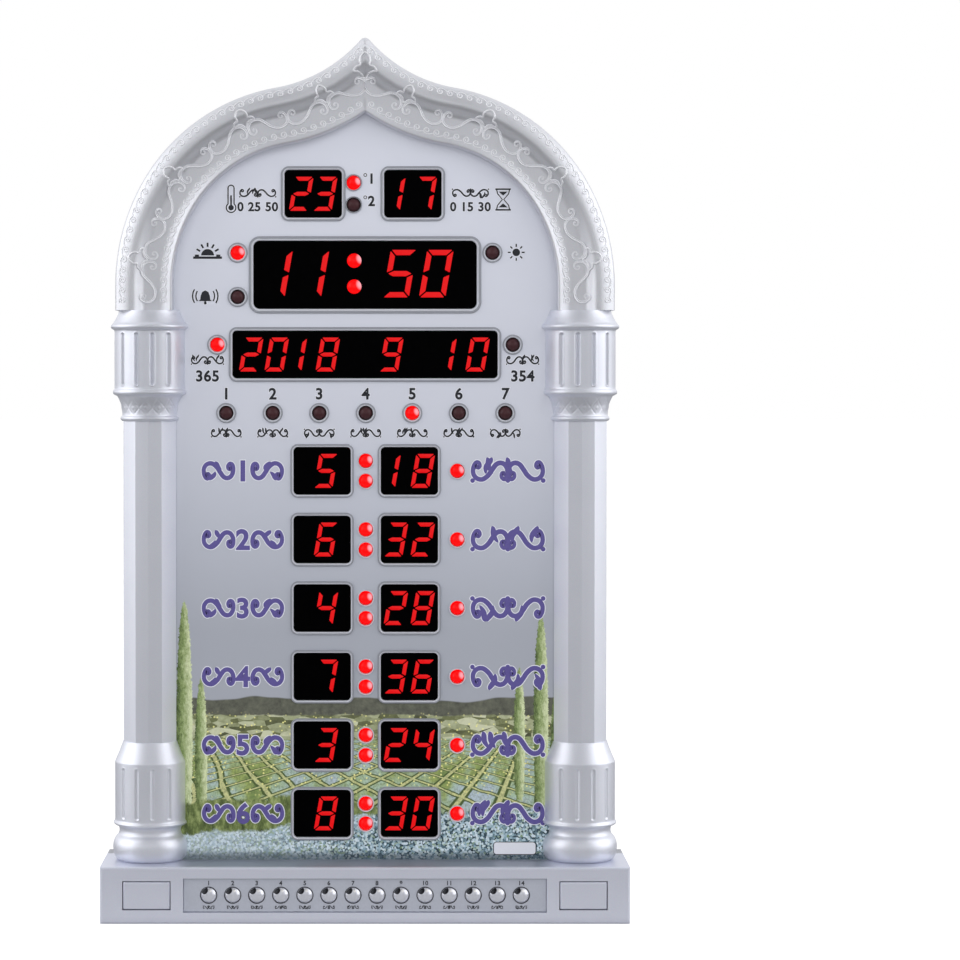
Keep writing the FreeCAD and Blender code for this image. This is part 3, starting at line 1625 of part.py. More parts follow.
def make_leads():
    """Short wires from the board to the jack and to the speaker's rim."""
    radius = size["lead_radius"]
    rim_front = cover_floor - size["speaker_rim"]
    rim_width = size["speaker_land"] - size["basket_wall"]
    rim_middle = speaker_height + size["speaker_radius"] - rim_width / 2
    jack_depth = (board_back, jack_front)
    rim_depth = (board_back, rim_front)
    wires = []
    for i, side in enumerate((-1, 1)):
        offset = side * size["lead_spread"] / 2
        wires.append(rod(f"jack_lead_{i}", jack_across + offset, jack_height, jack_depth, radius))
        wires.append(rod(f"speaker_lead_{i}", offset, rim_middle, rim_depth, radius))
    return group("hookup_wires", wires)


def make_battery_bay():
    """Round cell holder on the board, its coin cell, and the cap that twists into the cover."""
    x, z = size["bay_across"], bay_height
    cell = size["cell_radius"]
    seat = board_back + size["holder_floor"]
    holder_back = seat + size["cell_height"]
    holder = cut(
        "coin_cell_holder",
        rod("holder_blank", x, z, (board_back, holder_back), cell + size["holder_wall"]),
        [rod("holder_space", x, z, (seat, holder_back + OVERCUT), cell + size["fit_gap"])],
    )
    coin = rod("coin_cell", x, z, (seat, holder_back), cell)
    neck_front = cover_floor - size["fit_gap"] - size["lug_height"]
    flange_front = rear - size["cap_flange"]
    outline = [
        (as_size(0), neck_front),
        (cap_neck_radius, neck_front),
        (cap_neck_radius, flange_front),
        (cap_radius, flange_front),
        (cap_radius, rear),
        (as_size(0), rear),
    ]
    disc = turned("cap_disc", outline, x, z)
    lug_depth = (neck_front, neck_front + size["lug_height"])
    lugs = box("cap_lugs", span(x, 2 * lug_radius), lug_depth, span(z, size["lug_width"]))
    slot_depth = (rear - size["coin_slot_depth"], rear + OVERCUT)
    slot_high = span(z, size["coin_slot_width"])
    slot = box("coin_slot", span(x, size["coin_slot_length"]), slot_depth, slot_high)
    return [holder, coin, cut("battery_cap", fuse("cap_with_lugs", [disc, lugs]), [slot])]


# ---------------------------------------------------------------- fasteners


def make_case_screws():
    """Pan-head screws through the back cover into the front mouldings."""
    seat = rear - size["counterbore_depth"]
    end = split - size["case_screw_bite"]
    screws = []
    for i, (x, z) in enumerate(case_screw_places()):
        head_depth = (seat, seat + size["case_screw_head"])
        head = rod(f"case_screw_head_{i}", x, z, head_depth, size["case_screw_head_radius"])
        shank = rod(f"case_screw_shank_{i}", x, z, (end, seat), size["case_screw_radius"])
        screws.append(fuse(f"case_screw_{i}", [head, shank]))
    return group("case_screws", screws)


def make_board_screws():
    """Short screws through the two boards."""
    places = [(x, z, board_back) for x, z in standoff_places()]
    places += [(side * post_across, control_height, key_board_back) for side in (-1, 1)]
    screws = []
    for i, (x, z, seat) in enumerate(places):
        head_depth = (seat, seat + size["board_screw_head"])
        shank_depth = (seat - size["board_screw_length"], seat)
        head = rod(f"board_screw_head_{i}", x, z, head_depth, size["board_screw_head_radius"])
        shank = rod(f"board_screw_shank_{i}", x, z, shank_depth, size["board_screw_radius"])
        screws.append(fuse(f"board_screw_{i}", [head, shank]))
    return group("board_screws", screws)


# ---------------------------------------------------------------- the whole clock


def make_clock():
    """Every sub-part, in the order of assembly."""
    parts = [
        make_arch_frame(),
        make_column("left_column", -1),
        make_column("right_column", 1),
        make_plinth(),
        make_back_cover(),
    ]
    parts += make_dial()
    parts.append(make_window_bezels())
    parts += make_displays()
    parts.append(make_segments())
    parts += make_lamps()
    parts.append(make_control_strip())
    parts += make_buttons()
    parts.append(make_blank_plate("left_blank_plate", -1))
    parts.append(make_blank_plate("right_blank_plate", 1))
    parts.append(make_button_board())
    parts.append(make_switches())
    parts.append(make_display_board())
    parts.append(make_board_components())
    parts.append(make_receiver())
    parts += make_ribbon()
    parts += make_speaker()
    parts += make_power_jack()
    parts.append(make_leads())
    parts += make_battery_bay()
    parts.append(make_case_screws())
    parts.append(make_board_screws())
    return parts


def check_document(parts):
    """Stop on any failed object or any sub-part without a sound shape."""
    for item in doc.Objects:
        if "Invalid" in item.State or "Error" in item.State:
            raise RuntimeError(f"{item.Name} failed: {item.State}")
    for part in parts:
        if part.Shape.isNull() or not part.Shape.isValid():
            raise RuntimeError(f"{part.Label} has no sound shape")
        if not part.Shape.Solids:
            raise RuntimeError(f"{part.Label} holds no solid")


clock = make_clock()
doc.recompute()
check_document(clock)
for part in clock:
    part.Shape.exportStep(f"parts/{part.Label}.step")
    print(part.Label, len(part.Shape.Solids), round(part.Shape.Volume, 1))
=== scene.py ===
"""The looks of the azan clock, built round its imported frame. Lengths are millimetres until a mesh is made."""
import json
import math
import random

import bmesh
import bpy
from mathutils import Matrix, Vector


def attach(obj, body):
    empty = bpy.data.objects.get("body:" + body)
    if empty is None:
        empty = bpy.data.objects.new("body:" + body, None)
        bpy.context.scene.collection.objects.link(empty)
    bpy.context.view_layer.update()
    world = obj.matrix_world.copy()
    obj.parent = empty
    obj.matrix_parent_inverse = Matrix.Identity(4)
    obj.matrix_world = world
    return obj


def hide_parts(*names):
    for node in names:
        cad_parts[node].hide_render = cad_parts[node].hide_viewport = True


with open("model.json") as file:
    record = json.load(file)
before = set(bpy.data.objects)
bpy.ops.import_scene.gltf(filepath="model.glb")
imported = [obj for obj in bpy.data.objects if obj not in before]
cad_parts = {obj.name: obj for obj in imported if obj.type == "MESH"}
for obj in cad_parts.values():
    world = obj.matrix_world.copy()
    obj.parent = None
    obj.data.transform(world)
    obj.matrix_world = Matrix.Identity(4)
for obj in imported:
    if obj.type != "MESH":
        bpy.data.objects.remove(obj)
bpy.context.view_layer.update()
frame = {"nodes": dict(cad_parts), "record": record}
NODES = frame["nodes"]
MM = 0.001

# ---------------------------------------------------------------- places, as in the part's source

FRONT, SPLIT = -22.5, 12.0
DIAL_FACE, COLUMN_AXIS, STRIP_FACE = -3.5, -1.0, -21.1
PLINTH_TOP, CONTROL_HEIGHT = 23.5, 11.75
ARCH_FOOT, ARCH_SPRING, ARCH_HALF = 253.0, 263.2, 103.8
COLUMN_CENTRE, SHAFT_HALF, COLUMN_BEHIND = 89.8, 10.95, 83.1
BAND = 24.0
BUTTON_PITCH, BUTTON_COUNT = 9.914, 14
PLATE_ACROSS, PLATE_WIDTH, PLATE_HEIGHT = 90.0, 19.3, 11.4

# ---------------------------------------------------------------- node helpers


def linear(*levels):
    """An opaque linear colour from 0 to 255 display levels."""
    shares = [level / 255 for level in levels]
    return (*(s / 12.92 if s <= 0.04045 else ((s + 0.055) / 1.055) ** 2.4 for s in shares), 1.0)


class Field:
    """An output in a node tree; arithmetic on it adds math nodes."""

    def __init__(self, nodes, socket):
        self.nodes, self.socket = nodes, socket

    def __add__(self, other):
        return self.nodes.math("ADD", self, other)

    def __sub__(self, other):
        return self.nodes.math("SUBTRACT", self, other)

    def __rsub__(self, other):
        return self.nodes.math("SUBTRACT", other, self)

    def __mul__(self, other):
        return self.nodes.math("MULTIPLY", self, other)

    def __truediv__(self, other):
        return self.nodes.math("DIVIDE", self, other)

    def __rtruediv__(self, other):
        return self.nodes.math("DIVIDE", other, self)


class Nodes:
    """The node tree of a material, or of the world, and short ways to add to it."""

    def __init__(self, name, world=False):
        self.owner = (bpy.data.worlds if world else bpy.data.materials).new(name)
        self.owner.use_nodes = True
        self.tree = self.owner.node_tree
        self.shader = self.tree.nodes["Background" if world else "Principled BSDF"]
        self.place = None if world else self.add("TexCoord", "Object")

    def feed(self, socket, value):
        """Link or set one input; a colour of three numbers is in display levels."""
        if isinstance(value, Field):
            self.tree.links.new(value.socket, socket)
        else:
            levels = socket.type == "RGBA" and len(value) == 3
            socket.default_value = linear(*value) if levels else value

    def add(self, kind, output, inputs=(), **settings):
        """A new node's output; its inputs go by name or number."""
        node = self.tree.nodes.new(f"ShaderNode{kind}")
        for name, value in settings.items():
            setattr(node, name, value)
        for name, value in dict(inputs).items():
            self.feed(node.inputs[name], value)
        return Field(self, node.outputs[output])

    def settings(self, **values):
        """Set the shader's own sockets, named with underscores for spaces."""
        for name, value in values.items():
            self.feed(self.shader.inputs[name.replace("_", " ")], value)
        return self.owner

    def math(self, operation, *values, clamp=False):
        return self.add("Math", 0, enumerate(values), operation=operation, use_clamp=clamp)

    def stretched(self, scale):
        return self.add("Mapping", "Vector", {"Vector": self.place, "Scale": scale}) if scale else self.place

    def noise(self, scale, detail=2.0, rough=0.5, stretch=None):
        inputs = {"Vector": self.stretched(stretch), "Scale": scale, "Detail": detail, "Roughness": rough}
        return self.add("TexNoise", "Fac", inputs)

    def cells(self, scale, output="Distance", feature="F1", stretch=None):
        inputs = {"Vector": self.stretched(stretch), "Scale": scale}
        return self.add("TexVoronoi", output, inputs, feature=feature)

    def ramp(self, source, *stops):
        """A colour ramp: stops are (position, three display levels) or (position, brightness)."""
        colour = self.add("ValToRGB", "Color", {"Fac": source})
        elements = colour.socket.node.color_ramp.elements
        while len(elements) < len(stops):
            elements.new(0.5)
        for element, (position, *levels) in zip(elements, stops):
            element.position = position
            element.color = linear(*levels) if len(levels) == 3 else (*levels * 3, 1)
        return colour

    def step(self, source, low, high):
        """0 below low, 1 above high, smooth between."""
        inputs = {"Value": source, "From Min": low, "From Max": high}
        return self.add("MapRange", "Result", inputs, interpolation_type="SMOOTHSTEP")

    def spread(self, source, low, high):
        """A 0 to 1 value spread from low to high."""
        return self.add("MapRange", "Result", {"Value": source, "To Min": low, "To Max": high})

    def mix(self, factor, a, b, blend="MIX"):
        inputs = {"Factor": factor, "A": a, "B": b}
        return self.add("Mix", "Result", inputs, data_type="RGBA", blend_type=blend)

    def axes(self):
        """The object's own x, y and z in millimetres."""
        sockets = self.add("SeparateXYZ", 0, {0: self.place}).socket.node.outputs
        return [Field(self, socket) * 1000.0 for socket in sockets]

    def towards(self, low, high, *direction):
        """A step from 0 to 1 as the surface turns to face a fixed direction."""
        inputs = {0: self.add("NewGeometry", "Normal"), 1: Vector(direction).normalized()}
        return self.step(self.add("VectorMath", "Value", inputs, operation="DOT_PRODUCT"), low, high)

    def bump(self, height, strength, depth):
        inputs = {"Height": height, "Strength": strength, "Distance": depth * MM}
        self.feed(self.shader.inputs["Normal"], self.add("Bump", "Normal", inputs))


# ---------------------------------------------------------------- materials


def plastic(name, dark, light, rough, grain, relief, specular=0.5):
    """A moulded or painted finish: two near colours, a roughness range and a fine grain."""
    n = Nodes(name)
    n.bump(n.noise(grain * 1.7), 0.25, relief)
    colour = n.mix(n.noise(grain, 3.0), dark, light)
    rough = n.spread(n.noise(grain * 0.3, 4.0), *rough)
    return n.settings(Base_Color=colour, Roughness=rough, Specular_IOR_Level=specular)


def make_silver(name, dark, light, metallic, ledge_shade=0.0):
    """Silver paint: flakes, a faint mottle and a soft orange peel. Where asked, painted shade greys the
    plinth's top face under the dial.
    """
    n = Nodes(name)
    base = n.mix(0.10, n.mix(n.noise(60, 4.0), dark, light), n.cells(5200, "Color"), "OVERLAY")
    if ledge_shade:
        x, y, z = n.axes()
        # painted shade: the plinth's top face between the columns, under the dial, mixed towards dark blue-grey
        painted_ledge_shade = n.step(z, 23.2, 23.45) * n.step(n.math("ABSOLUTE", x), 80.0, 71.0) * n.step(y, -22.3, -19.5)
        base = n.mix(painted_ledge_shade * ledge_shade, base, (96, 106, 122))
    n.bump(n.noise(900), 0.10, 0.02)
    return n.settings(Base_Color=base, Metallic=metallic, Roughness=n.spread(n.noise(140, 4.0), 0.40, 0.47))


# (middle, foot, top, width)
CYPRESSES = [
    (-75.5, 30.0, 132.0, 3.6), (-68.5, 34.0, 100.0, 2.8), (73.5, 44.0, 126.0, 3.3),
    (64.5, 48.0, 104.0, 2.6), (80.0, 40.0, 96.0, 2.8),
]


def make_overlay():
    """The printed dial: a pale evening sky over hills, a lit garden with cypresses, and a flower bed."""
    n = Nodes("overlay_print")
    x, _, z = n.axes()
    mottle = n.noise(420, 5.0, 0.65)

    def rolling(scale, height, base, detail=2.0, rough=0.5, tilt=0):
        """The height of a line that rolls along the dial."""
        return n.noise(scale, detail, rough, stretch=(1, 0, tilt)) * height + base

    def under(line, low, high, ground):
        """The picture so far, with a ground painted below a line."""
        return n.mix(n.step(line - z, low, high), colour, ground)

    # the sky, the hills and the plain before them
    low_sky = (0.0, 158, 163, 173), (0.34, 166, 170, 181), (0.46, 184, 188, 200)
    colour = n.ramp(z * (1 / 350), *low_sky, (0.60, 203, 206, 218), (0.95, 214, 217, 229))
    hill = n.ramp(mottle, (0.3, 76, 78, 70), (0.7, 108, 110, 96))
    colour = under(rolling(13, 26.0, 78.5, 3.0, 0.45), -0.3, 0.5, hill)
    fields = n.cells(330, "Color", stretch=(0.55, 1, 1.5)) * 0.75 + mottle * 0.35
    soils = (0.25, 74, 78, 56), (0.45, 112, 118, 78), (0.62, 164, 170, 134), (0.80, 204, 207, 176)
    colour = under(rolling(40, 6.0, 81.0, 4.0, 0.6, 0.3), -0.4, 0.4, n.ramp(fields, *soils))

    # the garden's floor and its paths run back in perspective
    below = 92.0 - z
    sway = (n.noise(60, 4.0, 0.6) - 0.5) * 0.32
    u, v = x * 2.6 / below + sway, 190.0 / below + sway
    path = n.math("MINIMUM", n.math("PINGPONG", u + v, 0.5), n.math("PINGPONG", u - v, 0.5))
    lawns = (0.32, 100, 130, 72), (0.45, 158, 174, 100), (0.54, 174, 198, 174), (0.66, 184, 200, 212)
    beds = n.ramp(n.noise(55, 3.0, 0.6), *lawns)
    beds = n.mix(n.step(path, 0.16, 0.13), beds, (72, 92, 46))
    beds = n.mix(n.step(path, 0.08, 0.05), beds, (206, 208, 148))
    beds = n.mix(n.step(n.noise(900, 5.0, 0.8), 0.42, 0.62) * 0.5, beds, (84, 98, 66))
    colour = under(rolling(22, 7.0, 70.5), -0.4, 0.4, beds)

    # small lamps
    lit = n.step(n.cells(620), 0.30, 0.16) * n.step(n.cells(620, "Color"), 0.62, 0.7)
    zone = n.step(z, 46.0, 56.0) * n.step(z, 86.0, 82.0)
    colour = n.mix(lit * zone, colour, (236, 232, 150))

    for middle, foot, top, width in CYPRESSES:
        share = n.math("DIVIDE", z - foot, top - foot, clamp=True)
        half = n.math("SQRT", (1.0 - share) * (share + 0.10)) * (width * 1.8)
        half = (n.noise(900, 3.0, 0.7) - 0.5) * 2.2 + half
        off = x - middle
        tree = n.step(half - n.math("ABSOLUTE", off), 0.0, 0.35)
        tree = tree * n.step(z, foot - 1.0, foot + 1.0) * n.step(z, top + 1.0, top - 1.0)
        tone = (off * (0.5 / width) + 0.5) * 0.4 + n.noise(1000, 5.0, 0.85, stretch=(1, 1, 0.4)) * 0.75
        leaf = n.ramp(tone, (0.36, 58, 76, 40), (0.54, 136, 156, 96), (0.74, 214, 224, 180))
        colour = n.mix(tree, colour, leaf)

    # a hedge, the flower bed in front and its shaded foot
    left = n.step(x, 10.0, -70.0)
    gaps, blooms = ((0.10, 22, 32, 42), (0.28, 66, 92, 104)), ((0.48, 144, 174, 188), (0.68, 216, 230, 240))
    petals = n.ramp(left * 0.13 + n.cells(1250, "Color"), *gaps, *blooms, (0.93, 114, 144, 100))
    petals = n.mix(left * 0.42, petals, (208, 220, 229))
    bank = n.step(x, -70.0, 20.0) * 9.0 + (rolling(19, 16.0, 24.0) + mottle * 5.0)
    tone = n.noise(500, 4.0, 0.7, stretch=(1, 1, 0.4)) * 0.8 + z * 0.004
    shrubs = n.ramp(tone, (0.42, 58, 70, 40), (0.56, 104, 120, 66), (0.70, 156, 170, 108))
    colour = under(n.step(x, 30.0, -45.0) * 13.0 + bank, -0.8, 0.8, shrubs)
    colour = under(bank, -0.8, 0.8, petals)
    # painted shade: the print darkens along the dial's foot, where it meets the plinth
    colour = n.mix(n.step(z, 28.5, 24.5) * 0.75, colour, (52, 64, 76))
    n.bump(n.noise(2500), 0.1, 0.01)
    return n.settings(Base_Color=colour, Roughness=n.spread(n.noise(300), 0.42, 0.5), Specular_IOR_Level=0.3)


def make_glow(name, deep, bright, strength, painted_highlight=None):
    """A lit red light guide; a domed lens has a paler highlight painted into its colour on one flank."""
    n = Nodes(name)
    tone = n.mix(n.noise(900), deep, bright)
    if painted_highlight:
        # painted highlight: the colour turns pale where the lens faces right and a little up
        tone = n.mix(n.towards(0.76, 1.0, 0.73, -0.64, 0.24), tone, painted_highlight)
    n.bump(n.noise(1500), 0.08, 0.01)
    n.settings(Base_Color=n.mix(0.75, tone, (0, 0, 0)), Roughness=n.spread(n.noise(400), 0.22, 0.3))
    return n.settings(Emission_Color=tone, Emission_Strength=strength, Specular_IOR_Level=0.15)


def make_board():
    """Solder mask with copper tracks showing through."""
    n = Nodes("circuit_board")
    tracks = n.step(n.cells(700, feature="DISTANCE_TO_EDGE", stretch=(1, 1, 0.4)), 0.02, 0.05)
    n.bump(tracks, 0.2, 0.03)
    colour = n.mix(tracks, (40, 110, 60), (22, 84, 44))
    return n.settings(Base_Color=colour, Roughness=n.spread(n.noise(200), 0.3, 0.45))


def make_steel():
    """Zinc plate with faint streaks."""
    n = Nodes("steel")
    streaks = n.noise(700, 4.0, stretch=(1, 1, 6))
    n.bump(streaks, 0.15, 0.02)
    zinc = linear(190, 190, 194)
    colour = n.mix(streaks, [c * 0.92 for c in zinc[:3]] + [1], zinc)
    return n.settings(Base_Color=colour, Metallic=1.0, Roughness=n.spread(streaks, 0.28, 0.42))


def make_cover():
    """Textured plastic: grey on the back, and as pale as the front on the rim."""
    n = Nodes("cover_plastic")
    cloud = n.noise(1100, 3.0)
    grey = n.mix(cloud, (112, 114, 120), (134, 136, 141))
    pale = n.mix(cloud, (190, 192, 200), (202, 204, 211))
    n.bump(n.noise(1870), 0.25, 0.14)
    colour = n.mix(n.step(n.axes()[1], 21.9, 21.5), grey, pale)
    return n.settings(Base_Color=colour, Roughness=n.spread(n.noise(330, 4.0), 0.48, 0.66))


def make_chrome():
    """Soft chrome on the domes, with a painted reflection of a dark corner on one flank and a painted highlight
    beside it.
    """
    n = Nodes("button_chrome")
    tone = n.mix(n.noise(300), (214, 216, 226), (222, 224, 233))
    # painted reflection: near-black where the dome faces up and to the left
    tone = n.mix(n.towards(0.925, 0.945, -0.40, -0.79, 0.46), tone, (24, 26, 32))
    # painted highlight: white where the dome faces up and a little to the right
    tone = n.mix(n.towards(0.985, 0.992, 0.16, -0.85, 0.46), tone, (255, 255, 255))
    n.bump(n.noise(900), 0.1, 0.003)
    return n.settings(Base_Color=tone, Metallic=0.6, Roughness=n.spread(n.noise(500), 0.20, 0.26))


# dark and light levels, share of metal and how strong the painted shade on the plinth's top face under the dial
# is
SILVERS = {
    "silver_paint": ((213, 215, 222), (220, 221, 227), 0.72),
    # painted light: the columns' copy of the silver paint, tinted lavender and lighter for the light falling on
    # them
    "silver_mid": ((219, 222, 232), (226, 228, 238), 0.72),
    # painted light: the plinth's copy of the silver paint, tinted lavender for the light on it, with painted
    # shade on its top face
    "silver_low": ((217, 220, 234), (223, 226, 240), 0.72, 0.5),
    # painted highlight: a paler, less metallic copy of the silver paint for the carving, so that its raised
    # lines read as lit
    "silver_crest": ((227, 228, 233), (235, 236, 241), 0.42),
}
# dark and light levels, range of roughness, grain, relief and specular level
PLASTICS = {
    "panel_plastic": ((200, 200, 200), (212, 212, 212), (0.5, 0.6), 900, 0.03),
    "bezel_grey": ((134, 137, 146), (146, 149, 158), (0.36, 0.44), 1200, 0.01),
    "bezel_light": ((188, 191, 201), (200, 203, 212), (0.34, 0.42), 1200, 0.01),
    "violet_ink": ((82, 72, 142), (92, 82, 152), (0.4, 0.5), 1500, 0.004),
    "white_ink": ((222, 224, 234), (230, 232, 240), (0.4, 0.5), 1500, 0.004),
    "dark_ink": ((22, 24, 32), (32, 34, 42), (0.4, 0.5), 1500, 0.004),
    "display_black": ((0, 0, 0), (2, 2, 3), (0.30, 0.36), 500, 0.004, 0.015),
    "lamp_unlit": ((60, 34, 38), (72, 42, 46), (0.3, 0.4), 700, 0.01, 0.22),
    "strip_grey": ((166, 170, 182), (178, 182, 194), (0.4, 0.5), 1400, 0.012),
    "black_plastic": ((22, 22, 23), (34, 34, 35), (0.4, 0.55), 900, 0.03),
    "ribbon_grey": ((150, 150, 154), (168, 168, 172), (0.5, 0.6), 700, 0.02),
    "connector_white": ((226, 224, 214), (236, 234, 226), (0.45, 0.55), 800, 0.02),
    "cone_paper": ((38, 38, 38), (56, 55, 54), (0.85, 0.95), 1800, 0.15),
    "magnet": ((44, 44, 46), (62, 62, 64), (0.6, 0.75), 1100, 0.08),
}
MATERIALS = {
    "cover_plastic": make_cover(),
    "overlay_print": make_overlay(),
    "segment_lit": make_glow("segment_lit", (226, 12, 17), (238, 20, 24), 0.76),
    # the last colour is a highlight painted on each lens's right flank
    "lamp_lit": make_glow("lamp_lit", (250, 4, 6), (255, 10, 12), 0.95, (255, 160, 170)),
    "button_chrome": make_chrome(),
    "circuit_board": make_board(),
    "steel": make_steel(),
}
for maker, table in ((make_silver, SILVERS), (plastic, PLASTICS)):
    for name, values in table.items():
        MATERIALS[name] = maker(name, *values)
for entry in frame["record"]["subparts"]:
    node_slots = NODES[entry["node"]].data.materials
    node_slots.clear()
    node_slots.append(MATERIALS[entry["material_slot"]])
# the plinth takes its lavender-tinted copy of the silver paint, with painted shade on its top face
NODES["plinth_housing"].data.materials[0] = MATERIALS["silver_low"]

# ---------------------------------------------------------------- mesh helpers


def make_piece(name, shape, slot, body="case", sharp=35.0, replaced=(), material=None):
    """A mesh piece from a shape in millimetres, riding on a body."""
    mesh = bpy.data.meshes.new(name)
    mesh.from_pydata([(x * MM, y * MM, z * MM) for x, y, z in shape.points], [], shape.faces)
    bm = bmesh.new()
    bm.from_mesh(mesh)
    bmesh.ops.remove_doubles(bm, verts=bm.verts, dist=0.002 * MM)
    bmesh.ops.dissolve_degenerate(bm, edges=bm.edges, dist=0.001 * MM)
    bmesh.ops.recalc_face_normals(bm, faces=bm.faces)
    bm.to_mesh(mesh)
    bm.free()
    mesh.shade_smooth()
    mesh.set_sharp_from_angle(angle=math.radians(sharp))
    mesh.materials.append(MATERIALS[material or slot])
    obj = bpy.data.objects.new(name, mesh)
    bpy.context.scene.collection.objects.link(obj)
    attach(obj, body)
    if replaced:
        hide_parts(*replaced)
    return obj


class Shape:
    """Points and faces that grow piece by piece."""

    def __init__(self):
        self.points, self.faces = [], []

    def loops(self, loops, closed=True, capped=True):
        """Skin a run of point loops that are equally long; closed joins each loop's ends."""
        start = len(self.points)
        count = len(loops[0])
        for loop in loops:
            self.points += loop
        last = count if closed else count - 1
        for j in range(len(loops) - 1):
            for i in range(last):
                a, b = start + j * count + i, start + j * count + (i + 1) % count
                self.faces.append((a, b, b + count, a + count))
        if capped and closed:
            self.faces.append(tuple(start + i for i in range(count)))
            self.faces.append(tuple(start + (len(loops) - 1) * count + i for i in range(count)))


def smooth(low, high, value):
    share = min(1.0, max(0.0, (value - low) / (high - low)))
    return share * share * (3 - 2 * share)


def blend_along(stops, value):
    """Smooth curve through (position, height) stops, by Catmull-Rom between them."""
    if value <= stops[0][0]:
        return stops[0][1]
    for i in range(len(stops) - 1):
        (x0, y0), (x1, y1) = stops[i], stops[i + 1]
        if value <= x1:
            before, after = stops[max(i - 1, 0)], stops[min(i + 2, len(stops) - 1)]
            slope0 = (y1 - before[1]) / (x1 - before[0])
            slope1 = (after[1] - y0) / (after[0] - x0)
            t, width = (value - x0) / (x1 - x0), x1 - x0
            ends = (2 * t**3 - 3 * t**2 + 1) * y0 + (3 * t**2 - 2 * t**3) * y1
            return ends + (t**3 - 2 * t**2 + t) * width * slope0 + (t**3 - t**2) * width * slope1
    return stops[-1][1]


def mirrored(half, middle=()):
    """A run of points (across, up), the middle and the run's mirror image."""
    return [*half, *middle] + [(-across, up) for across, up in reversed(half)]


def polar(centre, radius, turn):
    return centre[0] + radius * math.cos(turn), centre[1] + radius * math.sin(turn)


def arc(centre, radius, start, end, steps):
    """Points (x, z) of an arc between two turns, both ends included."""
    return [polar(centre, radius, start + (end - start) * i / steps) for i in range(steps + 1)]


def circle(x, z, radius, steps=40):
    return arc((x, z), radius, 0, 2 * math.pi, steps)[:-1]


def rounded_outline(x, z, width, height, corner, steps=7):
    points = []
    for k, (sx, sz) in enumerate(((1, 1), (-1, 1), (-1, -1), (1, -1))):
        centre = x + sx * (width / 2 - corner), z + sz * (height / 2 - corner)
        points += arc(centre, corner, math.pi / 2 * k, math.pi / 2 * (k + 1), steps)
    return points


# ---------------------------------------------------------------- arch

SHOULDER, SHOULDER_RADIUS, SHOULDER_END = (16.6, 263.2), 87.2, math.radians(30)
CROWN, CROWN_RADIUS, CROWN_END = (23.18, 267.0), 79.6, math.radians(80)
SWEEP, SWEEP_RADIUS, TIP_ROUND = (47.56, 405.27), 60.8, 2.5
SWEEP_START = CROWN_END + math.pi
TIP_CENTRE = SWEEP[1] - math.sqrt((SWEEP_RADIUS + TIP_ROUND) ** 2 - SWEEP[0] ** 2)
TIP_TURN = math.atan2(SWEEP[1] - TIP_CENTRE, SWEEP[0])
LEG_STEPS, SHOULDER_STEPS, CROWN_STEPS, SWEEP_STEPS, TIP_STEPS = 3, 26, 44, 34, 7
# (inset, depth) across the band: outward face, crest, cove, flat field and a rise to the inner rim
MOULDING = [
    (0.0, -7.2), (0.35, -8.4), (1.1, -9.3), (2.2, -10.1), (3.6, -10.95), (5.2, -11.65), (6.6, -12.0),
    (7.6, -11.9), (8.6, -11.45), (9.6, -10.7), (10.6, -9.8), (11.6, -9.05), (12.6, -8.68), (13.6, -8.6),
    (17.6, -8.6), (19.2, -8.85), (20.6, -9.4), (21.8, -10.1), (22.8, -10.75), (23.4, -10.9),
    (23.8, -10.4), (24.0, -9.5),
]
MOULDING_STEPS, REBATE = 96, 20.8


def half_outline(inset):
    """Points (x, z) of the right half of the arch's outline at an inset, from the foot to the tip."""
    rise = (ARCH_SPRING - ARCH_FOOT) / LEG_STEPS
    points = [(ARCH_HALF - inset, ARCH_FOOT + rise * i) for i in range(LEG_STEPS)]
    points += arc(SHOULDER, SHOULDER_RADIUS - inset, 0, SHOULDER_END, SHOULDER_STEPS)[:-1]
    points += arc(CROWN, CROWN_RADIUS - inset, SHOULDER_END, CROWN_END, CROWN_STEPS)[:-1]
    sweep = SWEEP_RADIUS + inset
    left = max(TIP_ROUND - inset, 0.0)
    finish = math.pi + (TIP_TURN if left else math.acos(SWEEP[0] / sweep))
    points += arc(SWEEP, sweep, SWEEP_START, finish, SWEEP_STEPS)[:-1]
    if left:
        return points + arc((0, TIP_CENTRE), left, TIP_TURN, math.pi / 2, TIP_STEPS)
    return points + [(0, SWEEP[1] - math.sqrt(sweep**2 - SWEEP[0] ** 2))] * (TIP_STEPS + 1)


def outline_at(inset, y):
    """The arch's whole outline at an inset, as points at a depth y."""
    half = half_outline(inset)
    return [(x, y, z) for x, z in mirrored(half[:-1], half[-1:])]


def moulding_height(inset):
    return blend_along(MOULDING, inset)


def make_arch():
    """The moulded band: its front sweep, its outer side, its inner step and its back."""
    insets = [i * BAND / MOULDING_STEPS for i in range(MOULDING_STEPS + 1)]
    rows = [outline_at(0.0, SPLIT)] + [outline_at(t, moulding_height(t)) for t in insets]
    rows += [outline_at(BAND, DIAL_FACE), outline_at(REBATE, DIAL_FACE), outline_at(REBATE, SPLIT)]
    # each cross-section is a closed loop, and the loops run along the arch
    shape = Shape()
    shape.loops([list(section) for section in zip(*rows)])
    make_piece("arch_moulding", shape, "silver_paint", sharp=40, replaced=["arch_frame"])


# ---------------------------------------------------------------- columns

